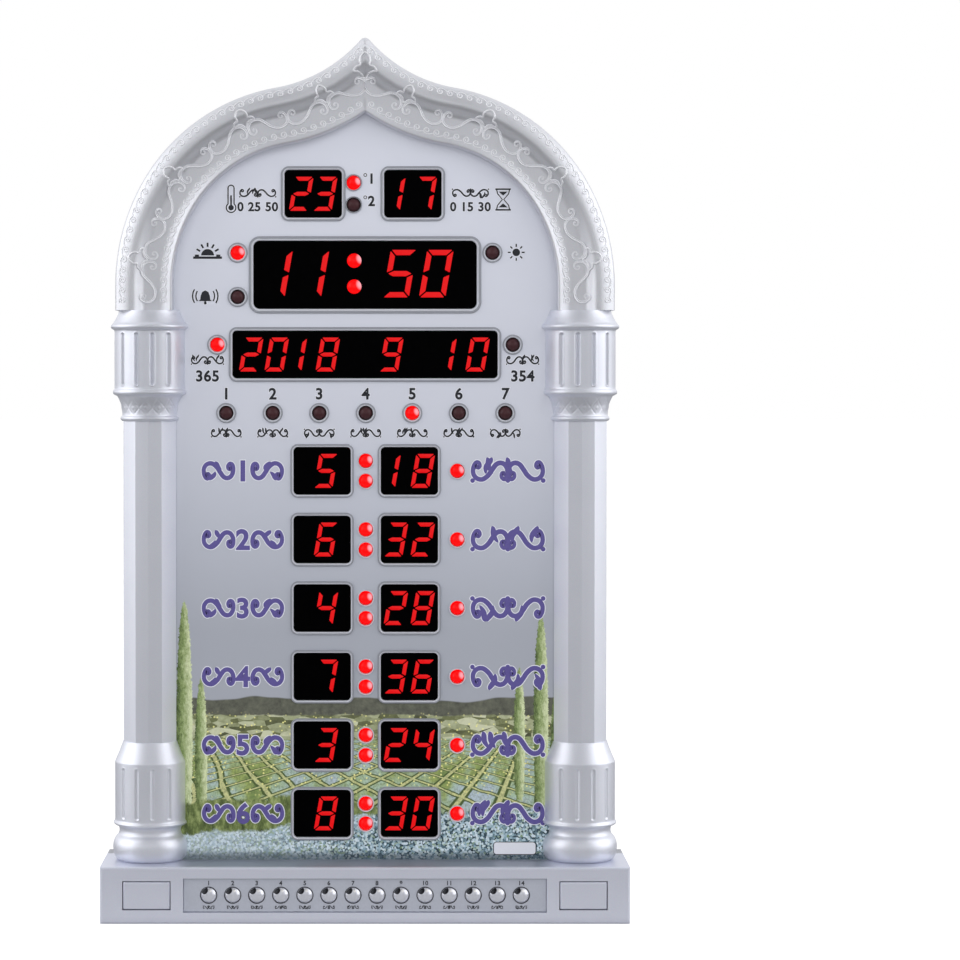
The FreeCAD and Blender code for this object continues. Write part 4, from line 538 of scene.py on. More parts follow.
# (height, radius) up the turned parts
BASE_PROFILE = [
    (23.5, 13.2), (24.3, 14.3), (26.0, 15.3), (28.6, 15.7), (31.0, 15.5), (33.0, 14.7), (34.4, 13.5),
    (34.9, 13.25), (36.2, 13.05), (37.4, 13.3), (38.0, 13.8), (38.3, 14.7), (38.9, 15.4), (39.5, 15.4),
    (40.0, 15.05), (40.5, 14.85), (44.0, 14.85), (60.0, 14.85), (64.5, 14.85), (64.9, 14.8),
    (65.2, 14.65), (65.6, 14.5), (69.0, 13.05), (72.4, 11.75), (72.9, 11.6), (73.2, 11.5),
]
CAPITAL_PROFILE = [
    (206.9, 11.5), (207.1, 11.9), (207.7, 12.3), (208.4, 12.3), (209.0, 11.85), (209.4, 11.6),
    (211.6, 11.75), (214.0, 12.2), (216.2, 13.1), (217.4, 13.8), (217.7, 14.5), (218.2, 15.3),
    (219.2, 15.5), (219.9, 15.25), (220.3, 14.9), (224.0, 14.85), (240.0, 14.85), (244.6, 14.85),
    (245.0, 15.3), (245.5, 16.1), (246.3, 16.35), (247.0, 16.1), (247.5, 15.6), (248.2, 15.1),
    (250.2, 13.95), (252.4, 13.0), (253.0, 12.9),
]
BASE_EDGES = (25, 29, 33, 35, 38, 40, 42, 63, 65, 73)
CAPITAL_EDGES = (208, 210, 213, 216, 219, 221.5, 243.5, 246, 248)
SHAFT_SECTION = [
    (10.95, 2.0), (10.95, -4.5), (5.5, -11.0), (0.0, -12.2), (-5.5, -11.0), (-10.95, -4.5),
    (-10.95, DIAL_FACE + 0.001), (-6.4, DIAL_FACE + 0.001), (-6.4, 2.0),
]
FLUTE_TURNS = [math.radians(a) for a in (-35, -7.5, 18.5, 45.5)]
LATHE_STEPS, FINE_STEP, COARSE_STEP = 190, 0.22, 0.9
OUTER_TURN = math.radians(150)
# (low, high, depth) of the flutes, and the heights over which the lattice and its studs come and go
BASE_FLUTES, CAPITAL_FLUTES = (42.4, 62.0, 0.42), (222.6, 242.8, 0.8)
LATTICE_CELL, LATTICE_RISE, LATTICE_MIDDLE, LATTICE_TOP = 5.6, 6.8, 212.6, 217.3
LATTICE_FOOT, LATTICE_HEAD, STUD_HEAD = (209.6, 210.4), (216.4, 217.2), (212.6, 214.0)


def flute_dent(turn, z, radius, low, high, depth):
    """How far a fluted drum's surface is cut back, with a fine lip round each flute."""
    nearest = min(abs(turn - flute) for flute in FLUTE_TURNS) * radius
    away = math.hypot(nearest, max(low - z, 0.0, z - high))
    groove = depth * (1 - smooth(0.15, 0.9, away))
    lip = 0.2 * depth * smooth(0.8, 1.05, away) * (1 - smooth(1.05, 1.45, away))
    return groove - lip


def lattice_dent(turn, z, radius):
    """Crossed grooves with a small raised lozenge in every other crossing."""
    u = (turn - FLUTE_TURNS[2]) * radius / LATTICE_CELL
    v = (z - LATTICE_MIDDLE) / LATTICE_RISE
    a, b = (u + v) % 1.0, (u - v) % 1.0
    line = min(a, 1 - a, b, 1 - b) * LATTICE_CELL * 0.7
    groove = 0.10 * (1 - smooth(0.08, 0.45, line))
    stud = 0.09 * (1 - smooth(0.10, 0.16, max(abs(a - 0.5), abs(b - 0.5)))) * (1 - smooth(*STUD_HEAD, z))
    return (groove - stud) * smooth(*LATTICE_FOOT, z) * (1 - smooth(*LATTICE_HEAD, z))


def base_dent(turn, z, radius):
    return flute_dent(turn, z, radius, *BASE_FLUTES)


def capital_dent(turn, z, radius):
    return lattice_dent(turn, z, radius) if z < LATTICE_TOP else flute_dent(turn, z, radius, *CAPITAL_FLUTES)


def lathe_rows(profile, edges, side, dent):
    """Loops of a turned piece round a column's axis, cut back to the dial and the parting plane."""
    rows = []
    for z in z_run(profile[0][0], profile[-1][0], edges):
        base = blend_along(profile, z)
        start = -math.acos(min(1.0, (COLUMN_AXIS - DIAL_FACE) / base))
        end = min(OUTER_TURN, math.acos(max(-1.0, -(SPLIT - COLUMN_AXIS) / base)))
        row = []
        for i in range(LATHE_STEPS):
            turn = start + (end - start) * i / (LATHE_STEPS - 1)
            radius = base - dent(turn, z, base)
            y = min(COLUMN_AXIS - radius * math.cos(turn), SPLIT)
            row.append((side * (COLUMN_CENTRE + radius * math.sin(turn)), y, z))
        rows.append(row + [(side * COLUMN_BEHIND, SPLIT - 0.5, z), (side * COLUMN_BEHIND, DIAL_FACE, z)])
    return rows


def z_run(low, high, edges):
    """Heights from low to high, close together near the edges."""
    values, z = [], low
    while z < high - FINE_STEP * 0.5:
        values.append(z)
        z += FINE_STEP if min(abs(z - edge) for edge in edges) < 1.8 else COARSE_STEP
    return values + [high]


def rounded_corners(corners, radius, steps=4):
    """A closed loop of (x, y) corners with each corner rounded."""
    result = []
    for i, corner in enumerate(corners):
        before, after = Vector(corners[i - 1]), Vector(corners[(i + 1) % len(corners)])
        here = Vector(corner)
        a, b = (before - here).normalized(), (after - here).normalized()
        cut = radius / math.tan(a.angle(b) / 2)
        start, end = here + a * cut, here + b * cut
        for k in range(steps + 1):
            t = k / steps
            result.append(((1 - t) ** 2 * start + 2 * t * (1 - t) * here + t * t * end)[:])
    return result


def make_column(node, side):
    """One column: its back, faceted shaft, base and capital."""
    shape = Shape()
    outer = COLUMN_CENTRE + SHAFT_HALF - 0.05
    back = [(COLUMN_BEHIND, DIAL_FACE), (outer, DIAL_FACE), (outer, SPLIT), (COLUMN_BEHIND, SPLIT)]
    shape.loops([[(side * x, y, z) for x, y in back] for z in (PLINTH_TOP, ARCH_FOOT)])
    shaft = rounded_corners([(side * (COLUMN_CENTRE + x), y) for x, y in SHAFT_SECTION], 0.32)
    shape.loops([[(x, y, z) for x, y in shaft] for z in (72.6, 140.0, 207.4)])
    shape.loops(lathe_rows(BASE_PROFILE, BASE_EDGES, side, base_dent))
    shape.loops(lathe_rows(CAPITAL_PROFILE, CAPITAL_EDGES, side, capital_dent))
    make_piece(f"{node}_dressed", shape, "silver_paint", sharp=32, replaced=[node], material="silver_mid")


make_arch()
make_column("left_column", -1)
make_column("right_column", 1)

# ---------------------------------------------------------------- carving on the arch

VINE_INSET, OUTER_BEAD_INSET, INNER_BEAD_INSET = 13.6, 3.2, 20.0
# runs along the arch, in millimetres from the tip
PALMETTE_RUNS = (18.6, 53.6, 88.6, 124.1)
NODE_RUNS = (0.0, 36.1, 71.1, 106.4, 141.8)
SCROLL_LENGTH, BEAD_PITCH, BEAD_START = 17.45, 4.17, 3.2
# (along, outward) through each carved line
SCROLL = [
    (2.75, -1.75), (2.3, -1.35), (2.7, -0.75), (3.5, -1.1), (3.6, -2.2), (2.6, -3.05), (1.35, -2.8),
    (0.65, -1.5), (0.85, 0.5), (2.2, 2.1), (4.2, 2.6), (6.2, 2.0), (8.0, 0.3), (9.9, -1.7), (12.6, -3.1),
    (15.4, -2.8), (17.1, -1.2), (17.1, 1.0), (15.9, 2.7), (14.5, 2.7), (13.9, 1.6), (14.7, 0.8),
    (15.6, 1.3), (15.2, 2.0),
]
PALMETTE = [
    (0.0, 0.9), (1.0, 2.3), (2.6, 3.0), (4.4, 2.9), (3.6, 4.2), (2.1, 4.6), (2.2, 6.0), (1.5, 7.6),
    (0.0, 8.5),
]
TOP_PALMETTE = [
    (0.0, 348.3), (1.3, 350.6), (3.0, 351.6), (4.8, 351.7), (3.7, 353.6), (1.9, 354.3), (2.2, 356.2),
    (1.6, 358.4), (0.0, 359.6),
]
# (across, height) sections of the raised lines, for a half width of 1
RIB = mirrored([(-1.0, -0.4), (-0.84, 0.62), (-0.6, 0.78), (-0.28, 0.3)])
THREAD = mirrored([(-1.0, -0.6), (-0.8, 0.7), (-0.3, 1.2)])
LOW_THREAD = mirrored([(-1.0, -0.5), (-0.75, 0.4), (-0.25, 0.75)])


def arcs_at(inset):
    """(centre, radius, first turn, last turn) of the right half's arcs at an inset, from the tip down."""
    sweep = SWEEP_RADIUS + inset
    start = math.pi + math.acos(SWEEP[0] / sweep)
    yield SWEEP, sweep, start, SWEEP_START
    yield CROWN, CROWN_RADIUS - inset, CROWN_END, SHOULDER_END
    yield SHOULDER, SHOULDER_RADIUS - inset, SHOULDER_END, 0.0


def on_arch(run, inset, reference):
    """(x, z) at an inset, a run along the reference inset's line from the tip; negative runs go left."""
    side, run = (-1 if run < 0 else 1), abs(run)
    for (centre, bend, first, last), (_, radius, _, _) in zip(arcs_at(reference), arcs_at(inset)):
        length = abs(last - first) * bend
        if run <= length:
            x, z = polar(centre, radius, first + math.copysign(run / bend, last - first))
            return side * max(x, 0.0), z
        run -= length
    return side * (ARCH_HALF - inset), ARCH_SPRING - run


def half_length(reference):
    """The length of the half arch along the line at an inset."""
    arcs = sum(abs(last - first) * bend for _, bend, first, last in arcs_at(reference))
    return arcs + ARCH_SPRING - ARCH_FOOT


def curve_through(points, steps, closed=False):
    """A smooth polyline through points, by Catmull-Rom."""
    result, count = [], len(points)

    def spot(t, a, b, c, d):
        square, cube = 2 * a - 5 * b + 4 * c - d, 3 * b - a - 3 * c + d
        return 0.5 * (2 * b + (c - a) * t + square * t * t + cube * t**3)

    for i in range(count if closed else count - 1):
        picks = [(i + k) % count if closed else min(max(i + k, 0), count - 1) for k in (-1, 0, 1, 2)]
        near = [points[pick] for pick in picks]
        result += [tuple(spot(j / steps, *axis) for axis in zip(*near)) for j in range(steps)]
    return result if closed else result + [points[-1]]


def mirrored_curve(half, steps):
    """A closed smooth curve from its right half, which starts and ends on the axis."""
    return curve_through(half + [(-x, z) for x, z in reversed(half[1:-1])], steps, closed=True)


def add_ribbon(shape, line, width, section, place, closed=False):
    """Sweep a raised section along a flat line; place maps (across, up, height) to a point."""
    rows, count = [], len(line)
    for i, here in enumerate(line):
        before = line[i - 1] if closed or i else here
        after = line[(i + 1) % count] if closed or i < count - 1 else here
        run = Vector((after[0] - before[0], after[1] - before[1])).normalized()
        half = width(i / (count - 1)) if callable(width) else width
        spots = [(u * half, h * half) for u, h in section]
        rows.append([place(here[0] - run.y * u, here[1] + run.x * u, h) for u, h in spots])
    if closed:
        rows.append(list(rows[0]))
    shape.loops(rows, capped=not closed)


def on_moulding(reference, middle=0.0, direction=1, outward=1):
    """A placing of (along, outward, height) on the moulding, from a point along a line at an inset."""

    def place(along, out, height):
        inset = reference - outward * out
        x, z = on_arch(middle + direction * along, inset, reference)
        return x, moulding_height(inset) - height, z

    return place


def on_tip(across, up, height):
    """A placing of (x, z, height) on the moulding near the tip, where the two sides meet."""
    low, high = 0.0, BAND
    for _ in range(30):
        inset = (low + high) / 2
        above = math.hypot(abs(across) - SWEEP[0], up - SWEEP[1]) < SWEEP_RADIUS + inset
        low, high = (low, inset) if above else (inset, high)
    return across, moulding_height(low) - height, up


def scroll_width(share):
    return 0.34 + 0.30 * smooth(0.18, 0.4, share) * (1 - smooth(0.72, 0.9, share))


def make_vine():
    """Scrolls and palmettes along the field of the arch."""
    shape = Shape()
    scroll = curve_through(SCROLL, 5)
    leaf = mirrored_curve(PALMETTE, 5)
    for side in (-1, 1):
        for i, palmette in enumerate(PALMETTE_RUNS):
            for node, direction in ((NODE_RUNS[i], -1), (NODE_RUNS[i + 1], 1)):
                stretch = abs(node - palmette) / SCROLL_LENGTH
                line = [(x * stretch, z) for x, z in scroll]
                place = on_moulding(VINE_INSET, palmette * side, direction * side)
                add_ribbon(shape, line, scroll_width, RIB, place)
            add_ribbon(shape, leaf, 0.42, THREAD, on_moulding(VINE_INSET, palmette * side), closed=True)
    add_ribbon(shape, mirrored_curve(TOP_PALMETTE, 6), 0.44, THREAD, on_tip, closed=True)
    make_piece("arch_vine", shape, "silver_paint", sharp=70, material="silver_crest")


def bead_line(steps=20, turns=1.42):
    """One running-wave curl and its tail to the next."""
    shares = [i / steps for i in range(steps + 1)]
    line = [polar((0, 0), 0.28 + 1.16 * s, -math.pi / 2 - (1 - s) * turns * 2 * math.pi) for s in shares]
    return line + [(0.8, -1.36), (1.5, -1.2), (2.2, -0.95), (2.7, -0.6)]


def make_bead_band(name, reference, outward):
    """Running waves along an edge of the band."""
    curl = bead_line()
    shape = Shape()
    length = half_length(reference) - 3.0
    count = round(length / BEAD_PITCH)
    for side in (-1, 1):
        for i in range(count):
            place = on_moulding(reference, side * (BEAD_START + length / count * i), side, outward)
            add_ribbon(shape, curl if i < count - 1 else curl[:-3], 0.30, LOW_THREAD, place)
    make_piece(name, shape, "silver_paint", sharp=70, material="silver_crest")


make_vine()
make_bead_band("arch_outer_wave", OUTER_BEAD_INSET, -1)
make_bead_band("arch_inner_wave", INNER_BEAD_INSET, 1)

# ---------------------------------------------------------------- windows and lamp rings

TOP_HEIGHT, TIME_HEIGHT, DATE_HEIGHT = 301.6, 267.85, 234.65
DAY_HEIGHT, DAY_PITCH, DIAL_AXIS = 210.25, 19.4, 0.3
ROW_HEIGHTS = [186.1 - 28.66 * i for i in range(6)]
HOUR_ACROSS, MINUTE_ACROSS, ROW_LAMP_ACROSS, TOP_LAMP_ACROSS = -17.9, 18.5, 38.5, -4.75
TOP_LAMP_RISE, ROW_LAMP_RISE = 4.6, 4.2
# (x, z, width, height, corner, border)
WINDOWS = [
    (-21.6, TOP_HEIGHT, 23.4, 19.4, 1.6, 1.5),
    (19.9, TOP_HEIGHT, 23.4, 19.4, 1.6, 1.5),
    (0.0, TIME_HEIGHT, 92.6, 27.9, 2.5, 1.9),
    (0.0, DATE_HEIGHT, 110.1, 19.4, 1.6, 1.5),
] + [(x, z, 23.4, 19.4, 1.6, 1.25) for z in ROW_HEIGHTS for x in (HOUR_ACROSS, MINUTE_ACROSS)]
WIDE_RINGS = [(-53.1, 277.05), (53.1, 277.05), (-53.1, 258.65), (-61.6, 238.75), (61.6, 238.75)]
WIDE_RINGS += [(DIAL_AXIS + DAY_PITCH * i, DAY_HEIGHT) for i in range(-3, 4)]
NARROW_RINGS = [(TOP_LAMP_ACROSS, TOP_HEIGHT + up * TOP_LAMP_RISE) for up in (1, -1)]
for row_height in ROW_HEIGHTS:
    NARROW_RINGS += [(DIAL_AXIS, row_height + up * ROW_LAMP_RISE) for up in (1, -1)]
    NARROW_RINGS.append((ROW_LAMP_ACROSS, row_height))
# (share of the width, rise) across a ring
RING_SECTION = [
    (0.0, 0.25), (0.02, -0.35), (0.12, -0.62), (0.40, -0.72), (0.46, -0.80), (0.84, -0.80), (0.97, -0.62),
    (1.0, 0.0), (1.0, 0.25),
]
LAMP_RADIUS, WINDOW_GAP, PALE_SHARE = 3.0, 0.25, 0.42


def make_rings(name, outlines, replaced, pale):
    """Moulded surrounds; an outline is a function of its distance out. A test picks the pale faces."""
    shape = Shape()
    for outline, width in outlines:
        rows = [[(x, DIAL_FACE + y, z) for x, z in outline(share * width)] for share, y in RING_SECTION]
        shape.loops(rows + [rows[0]], capped=False)
    obj = make_piece(name, shape, "bezel_grey", sharp=30, replaced=replaced)
    obj.data.materials.append(MATERIALS["bezel_light"])
    for face in obj.data.polygons:
        if pale(face.center / MM):
            face.material_index = 1


def near_window(centre):
    """Whether a point is on the inner lip of a window's surround."""
    for x, z, width, height, corner, border in WINDOWS:
        dx, dz = abs(centre.x - x) - width / 2, abs(centre.z - z) - height / 2
        lip = border * PALE_SHARE + WINDOW_GAP
        if -0.5 < max(dx, dz) < lip:
            return math.hypot(max(dx + corner, 0), max(dz + corner, 0)) - corner < lip
    return False


def make_surrounds():
    outlines = []
    for x, z, width, height, corner, border in WINDOWS:

        def outline(d, x=x, z=z, width=width, height=height, corner=corner):
            out = 2 * (WINDOW_GAP + d)
            return rounded_outline(x, z, width + out, height + out, corner + WINDOW_GAP + d)

        outlines.append((outline, border))
    make_rings("window_surrounds", outlines, ["window_bezels"], near_window)

    # (x, z, width, pale share of the width)
    rings = [(x, z, 1.2, 0.62) for x, z in WIDE_RINGS]
    rings += [(x, z, 0.55, 0.2 if z > TIME_HEIGHT else 1.1) for x, z in NARROW_RINGS]

    def near_lamp(centre):
        for x, z, width, pale in rings:
            away = math.hypot(centre.x - x, centre.z - z)
            if away < LAMP_RADIUS + 1.3:
                return away < LAMP_RADIUS + width * pale
        return False

    outlines = [(lambda d, x=x, z=z: circle(x, z, LAMP_RADIUS + d), width) for x, z, width, _ in rings]
    make_rings("lamp_surrounds", outlines, ["lamp_bezels"], near_lamp)


make_surrounds()

# ---------------------------------------------------------------- lit segments


def mesh_islands(node):
    """The points, in millimetres, of each separate lump of a node's mesh."""
    bm = bmesh.new()
    bm.from_mesh(node.data)
    bmesh.ops.remove_doubles(bm, verts=bm.verts, dist=0.002 * MM)
    bm.verts.index_update()
    islands, found = [], set()
    for seed in bm.verts:
        if seed.index in found:
            continue
        island, queue = [], [seed]
        found.add(seed.index)
        while queue:
            vertex = queue.pop()
            island.append((node.matrix_world @ vertex.co) / MM)
            for edge in vertex.link_edges:
                other = edge.other_vert(vertex)
                if other.index not in found:
                    found.add(other.index)
                    queue.append(other)
        islands.append(island)
    bm.free()
    return islands


def outline_of(points):
    """The corners (x, z) of the convex outline round points, in order."""
    points = sorted({(round(x, 2), round(z, 2)) for x, z in points})
    chains = []
    for run in (points, points[::-1]):
        chain = []
        for p in run:
            while len(chain) > 1:
                (ax, az), (bx, bz) = chain[-2:]
                if (bx - ax) * (p[1] - az) - (bz - az) * (p[0] - ax) > 0.02:
                    break
                chain.pop()
            chain.append(p)
        chains += chain[:-1]
    return chains


def make_segments():
    """Each lit bar with soft corners and a dark gap to its neighbours."""
    shape = Shape()
    for points in mesh_islands(NODES["lit_segments"]):
        front, behind = min(p.y for p in points), max(p.y for p in points)
        corners = outline_of([(p.x, p.z) for p in points])
        cx, cz = (sum(c[k] for c in corners) / len(corners) for k in (0, 1))
        loops = []
        for share, y in ((0.93, behind), (0.93, front + 0.1), (0.91, front + 0.02), (0.86, front)):
            smaller = [(cx + (x - cx) * share, cz + (z - cz) * share) for x, z in corners]
            loops.append([(x, y, z) for x, z in rounded_corners(smaller, 0.26, 3)])
        shape.loops(loops)
    make_piece("lit_segments_dressed", shape, "segment_lit", sharp=40, replaced=["lit_segments"])


make_segments()

# ---------------------------------------------------------------- printed marks

FLAT = [(-1, -1), (-1, 1), (1, 1), (1, -1)]
INK_LEVEL, HALO_LEVEL, LEVEL_STEP, LEVEL_COUNT = 0.09, 0.03, 0.004, 12


def glyph_mesh(text, height, grow):
    """Points (x, z, depth) centred on the text, and faces, of numerals set at a height."""
    curve = bpy.data.curves.new("numerals", "FONT")
    curve.body, curve.align_x = text, "CENTER"
    curve.space_character = 1.08
    holder = bpy.data.objects.new("numerals", curve)
    bpy.context.scene.collection.objects.link(holder)

    def outline():
        bpy.context.view_layer.update()
        return bpy.data.meshes.new_from_object(holder.evaluated_get(bpy.context.evaluated_depsgraph_get()))

    tall = [v.co.y for v in outline().vertices]
    low, scale = min(tall), height / (max(tall) - min(tall))
    curve.resolution_u = 6
    curve.offset = grow / scale
    curve.extrude = 0.5
    mesh = outline()
    points = [(v.co.x * scale, (v.co.y - low) * scale - height / 2, v.co.z) for v in mesh.vertices]
    faces = [tuple(face.vertices) for face in mesh.polygons]
    bpy.data.objects.remove(holder)
    return points, faces


class Ink:
    """Thin raised print on a face: the ink itself, and a wider pale halo beneath it."""

    def __init__(self, face, halo):
        self.face, self.halo = face, halo
        self.ink, self.under = Shape(), Shape()
        self.strokes = 0

    def layers(self):
        """(shape, level, extra width) of each layer; strokes that cross lie at levels of their own."""
        self.strokes += 1
        lift = LEVEL_STEP * (self.strokes % LEVEL_COUNT)
        yield self.ink, INK_LEVEL + lift, 0.0
        if self.halo:
            yield self.under, HALO_LEVEL + lift, self.halo

    def at_level(self, level):
        """A placing of (x, z, height) with the print's top at a level."""
        return lambda x, z, h: (x, self.face - (level if h > 0 else 0.0), z)

    def stroke(self, points, width, closed=False):
        for shape, level, extra in self.layers():

            def half(share, extra=extra):
                return (width(share) if callable(width) else width) + extra

            add_ribbon(shape, points, half, FLAT, self.at_level(level), closed)

    def fill(self, points):
        for shape, level, extra in self.layers():
            if not extra:
                shape.loops([[(x, self.face - y, z) for x, z in points] for y in (0.0, level)])
        if self.halo:
            add_ribbon(self.under, points, self.halo, FLAT, self.at_level(HALO_LEVEL), closed=True)

    def disc(self, x, z, radius):
        self.fill(circle(x, z, radius, 18))

    def text(self, text, x, z, height, bold):
        for shape, level, extra in self.layers():
            points, faces = glyph_mesh(text, height, bold + extra)
            first, place = len(shape.points), self.at_level(level)
            shape.points += [place(x + px, z + pz, depth) for px, pz, depth in points]
            shape.faces += [tuple(first + i for i in face) for face in faces]

    def finish(self, name, slot, material):
        make_piece(name, self.ink, slot, sharp=20, material=material)
        if self.halo:
            make_piece(f"{name}_halo", self.under, slot, sharp=20, material="white_ink")


def scroll_at(x, z, width, height, flip_x=1, flip_z=1):
    """The scroll's line, fitted to a box about a point."""
    across, up = flip_x * width / 17.0, flip_z * height / 5.8
    return [(x + across * (px - 9.0), z + up * (pz + 0.2)) for px, pz in curve_through(SCROLL, 4)]


def swelling(base):
    """A stroke width that swells in the middle."""
    return lambda share: base * (0.62 + 0.5 * math.sin(math.pi * share))


def leaf_stroke(ink, x, z, dx, dz, width):
    """A pointed leaf from a foot to a tip."""
    bend = [(0, 0), (dx * 0.35 - dz * 0.12, dz * 0.4), (dx * 0.8, dz * 0.8), (dx, dz)]
    line = curve_through([(x + px, z + pz) for px, pz in bend], 5)
    ink.stroke(line, lambda share: width * (0.25 + math.sin(math.pi * min(share * 1.02, 1.0)) ** 0.8))


def flourish(ink, x, z, width, height, weight, seed):
    """A running ornament of scrolls, leaves and dots that fills a line's place."""
    picker = random.Random(seed)
    flip = picker.choice((-1, 1))
    for side in (-1, 1):
        ink.stroke(scroll_at(x + side * width / 4, z, width / 2, height * 0.62, side, flip), swelling(weight))
    for _ in range(3):
        foot = x + picker.uniform(-0.42, 0.42) * width
        lean = picker.choice((-1, 1)) * height * 0.22
        leaf_stroke(ink, foot, z - flip * height * 0.1, lean, flip * height * 0.6, weight)
    for share in (-0.5, 0.0, 0.5):
        ink.disc(x + share * width, z - flip * height * 0.36, weight * 1.05)


def make_row_marks():
    """The rows' numbers and ornaments, in the violet of the print."""
    ink = Ink(DIAL_FACE, 0.34)
    number_x, ornament_x = -51.0, 59.6
    for i, z in enumerate(ROW_HEIGHTS):
        ink.text(str(i + 1), number_x, z, 8.0, 0.42)
        for side in (-1, 1):
            scroll = scroll_at(number_x + side * 10.2, z, 12.6, 6.2, side, 1 if i % 2 else -1)
            ink.stroke(scroll, swelling(0.86))
            for out, rise, up in ((9.0, 0.4, 3.4), (11.5, -0.4, -3.4)):
                leaf_stroke(ink, number_x + side * out, z + rise, side * 2.6, up, 0.78)
        flourish(ink, ornament_x, z, 29.5, 11.2, 0.92, 40 + i)
    ink.finish("row_marks", "overlay_print", "violet_ink")


def make_dark_marks():
    """Plain numbers, pictograms and ornaments in near-black round the upper windows."""
    ink = Ink(DIAL_FACE, 0.24)
    for i in range(7):
        x = DIAL_AXIS + DAY_PITCH * (i - 3)
        ink.text(str(i + 1), x, 218.3, 4.5, 0.2)
        flourish(ink, x, 201.9, 12.4, 4.4, 0.3, 60 + i)
    for x, scale, seed in ((-44.7, "0 25 50", 81), (43.9, "0 15 30", 82)):
        flourish(ink, x, 301.9, 15.0, 4.4, 0.3, seed)
        ink.text(scale, x, 296.2, 3.6, 0.16)
    for x, days, seed in ((-65.7, "365", 83), (65.7, "354", 84)):
        flourish(ink, x, 232.3, 13.4, 4.6, 0.3, seed)
        ink.text(days, x, 225.7, 4.4, 0.2)
    for number, z in (("1", 307.9), ("2", 298.6)):
        ink.text(number, 2.7, z, 4.0, 0.18)
        ink.stroke(circle(0.1, z + 1.5, 0.62, 14), 0.16, closed=True)
    make_thermometer(ink, -55.8, 293.9)
    make_hourglass(ink, 57.5, 299.2)
    make_low_sun(ink, -65.6, 275.0)
    make_bell(ink, -66.6, 258.6)
    make_high_sun(ink, 63.0, 277.2)
    ink.finish("dial_marks", "overlay_print", "dark_ink")


def make_thermometer(ink, x, z):
    tube = arc((x, z + 10.0), 1.25, 0, math.pi, 10)
    bulb = arc((x, z + 1.9), 2.0, math.radians(129), math.radians(411), 20)
    ink.stroke(tube + bulb, 0.26, closed=True)
    ink.disc(x, z + 1.9, 1.15)
    ink.stroke([(x, z + 1.9), (x, z + 7.0)], 0.36)


def make_hourglass(ink, x, z):
    for side in (-1, 1):
        ink.stroke([(x - 3.2, z + side * 4.3), (x + 3.2, z + side * 4.3)], 0.34)
        ink.fill([(x - 1.9, z + side * 3.3), (x + 1.9, z + side * 3.3), (x, z + side * 1.6)][::side])
    for side in (-1, 1):
        glass = ((2.7, 4.2), (2.3, 2.4), (0.3, 0.0), (2.3, -2.4), (2.7, -4.2))
        ink.stroke([(x + side * px, z + pz) for px, pz in glass], 0.24)


def make_rays(ink, centre, inner, outer, turns, width):
    for turn in turns:
        ink.stroke([polar(centre, inner, turn), polar(centre, outer, turn)], width)


def make_low_sun(ink, x, z):
    """A sun half under its horizon, for the hours after noon."""
    ink.stroke([(x - 6.0, z), (x + 6.0, z)], 0.5)
    centre = (x, z + 0.9)
    ink.fill(arc(centre, 2.7, 0, math.pi, 16))
    make_rays(ink, centre, 3.6, 5.3, [math.pi * i / 6 for i in range(7)], 0.4)


def make_high_sun(ink, x, z):
    ink.disc(x, z, 1.6)
    make_rays(ink, (x, z), 2.3, 3.5, [math.pi * i / 4 for i in range(8)], 0.3)


def make_bell(ink, x, z):
    body = mirrored([(-2.7, -1.7), (-2.1, -1.0), (-1.9, 0.6), (-1.3, 2.1)], [(0.0, 2.8)])
    ink.fill([(x + px, z + pz) for px, pz in body])
    ink.disc(x, z - 2.5, 0.6)
    for side in (-1, 1):
        middle, spread = math.radians(90 - side * 90), math.radians(32)
        for reach in (3.9, 5.3):
            ink.stroke(arc((x, z + 0.4), reach, middle + side * spread, middle - side * spread, 4), 0.3)


def make_strip_marks():
    """A number over each button, a dark ring round it that is painted shade for the gap at the hole's edge, and
    a small sign under it.
    """
    ink = Ink(STRIP_FACE, 0.0)
    for i in range(BUTTON_COUNT):
        x = BUTTON_PITCH * (i - (BUTTON_COUNT - 1) / 2)
        ink.text(str(i + 1), x, 16.75, 1.75, 0.05)
        flourish(ink, x, 6.75, 4.6, 1.7, 0.12, 100 + i)
        # painted shade: a dark ring where the gap round each button lies in shade
        ink.stroke(circle(x, CONTROL_HEIGHT, 3.42), 0.13, closed=True)
    ink.finish("strip_marks", "strip_grey", "dark_ink")


def raised_plate(place, width, height, corner, face, outlines, steps=7):
    """A shape of rounded outlines, each (inset, y out from the face)."""
    shape = Shape()
    rows = []
    for d, y in outlines:
        outline = rounded_outline(*place, width - 2 * d, height - 2 * d, max(corner - d, 0.05), steps)
        rows.append([(x, face + y, z) for x, z in outline])
    shape.loops(rows)
    return shape


def make_bare_plate():
    """The small plate at the dial's foot, left bare."""
    place = 62.6, 28.2
    outlines = ((0.0, 0.0), (0.0, -0.10), (0.30, -0.14), (0.42, -0.10), (0.60, -0.10))
    shape = raised_plate(place, 17.4, 4.9, 1.1, DIAL_FACE, outlines)
    make_piece("bare_plate", shape, "overlay_print", sharp=20, material="white_ink")
    ink = Ink(DIAL_FACE, 0.0)
    ink.stroke(rounded_outline(*place, 17.7, 5.2, 1.2), 0.16, closed=True)
    ink.finish("bare_plate_edge", "overlay_print", "dark_ink")


def make_plate(node, side):
    """A snap-in blank plate with rolled edges, so that a shadow line runs round it."""
    place = side * PLATE_ACROSS, CONTROL_HEIGHT
    outlines = ((0.0, 1.5), (0.0, 0.62), (0.08, 0.3), (0.24, 0.1), (0.5, 0.0), (1.4, 0.0), (5.0, 0.0))
    shape = raised_plate(place, PLATE_WIDTH, PLATE_HEIGHT, 0.5, FRONT, outlines, 3)
    make_piece(f"{node}_dressed", shape, "silver_paint", sharp=50, replaced=[node], material="silver_low")


# ---------------------------------------------------------------- screws

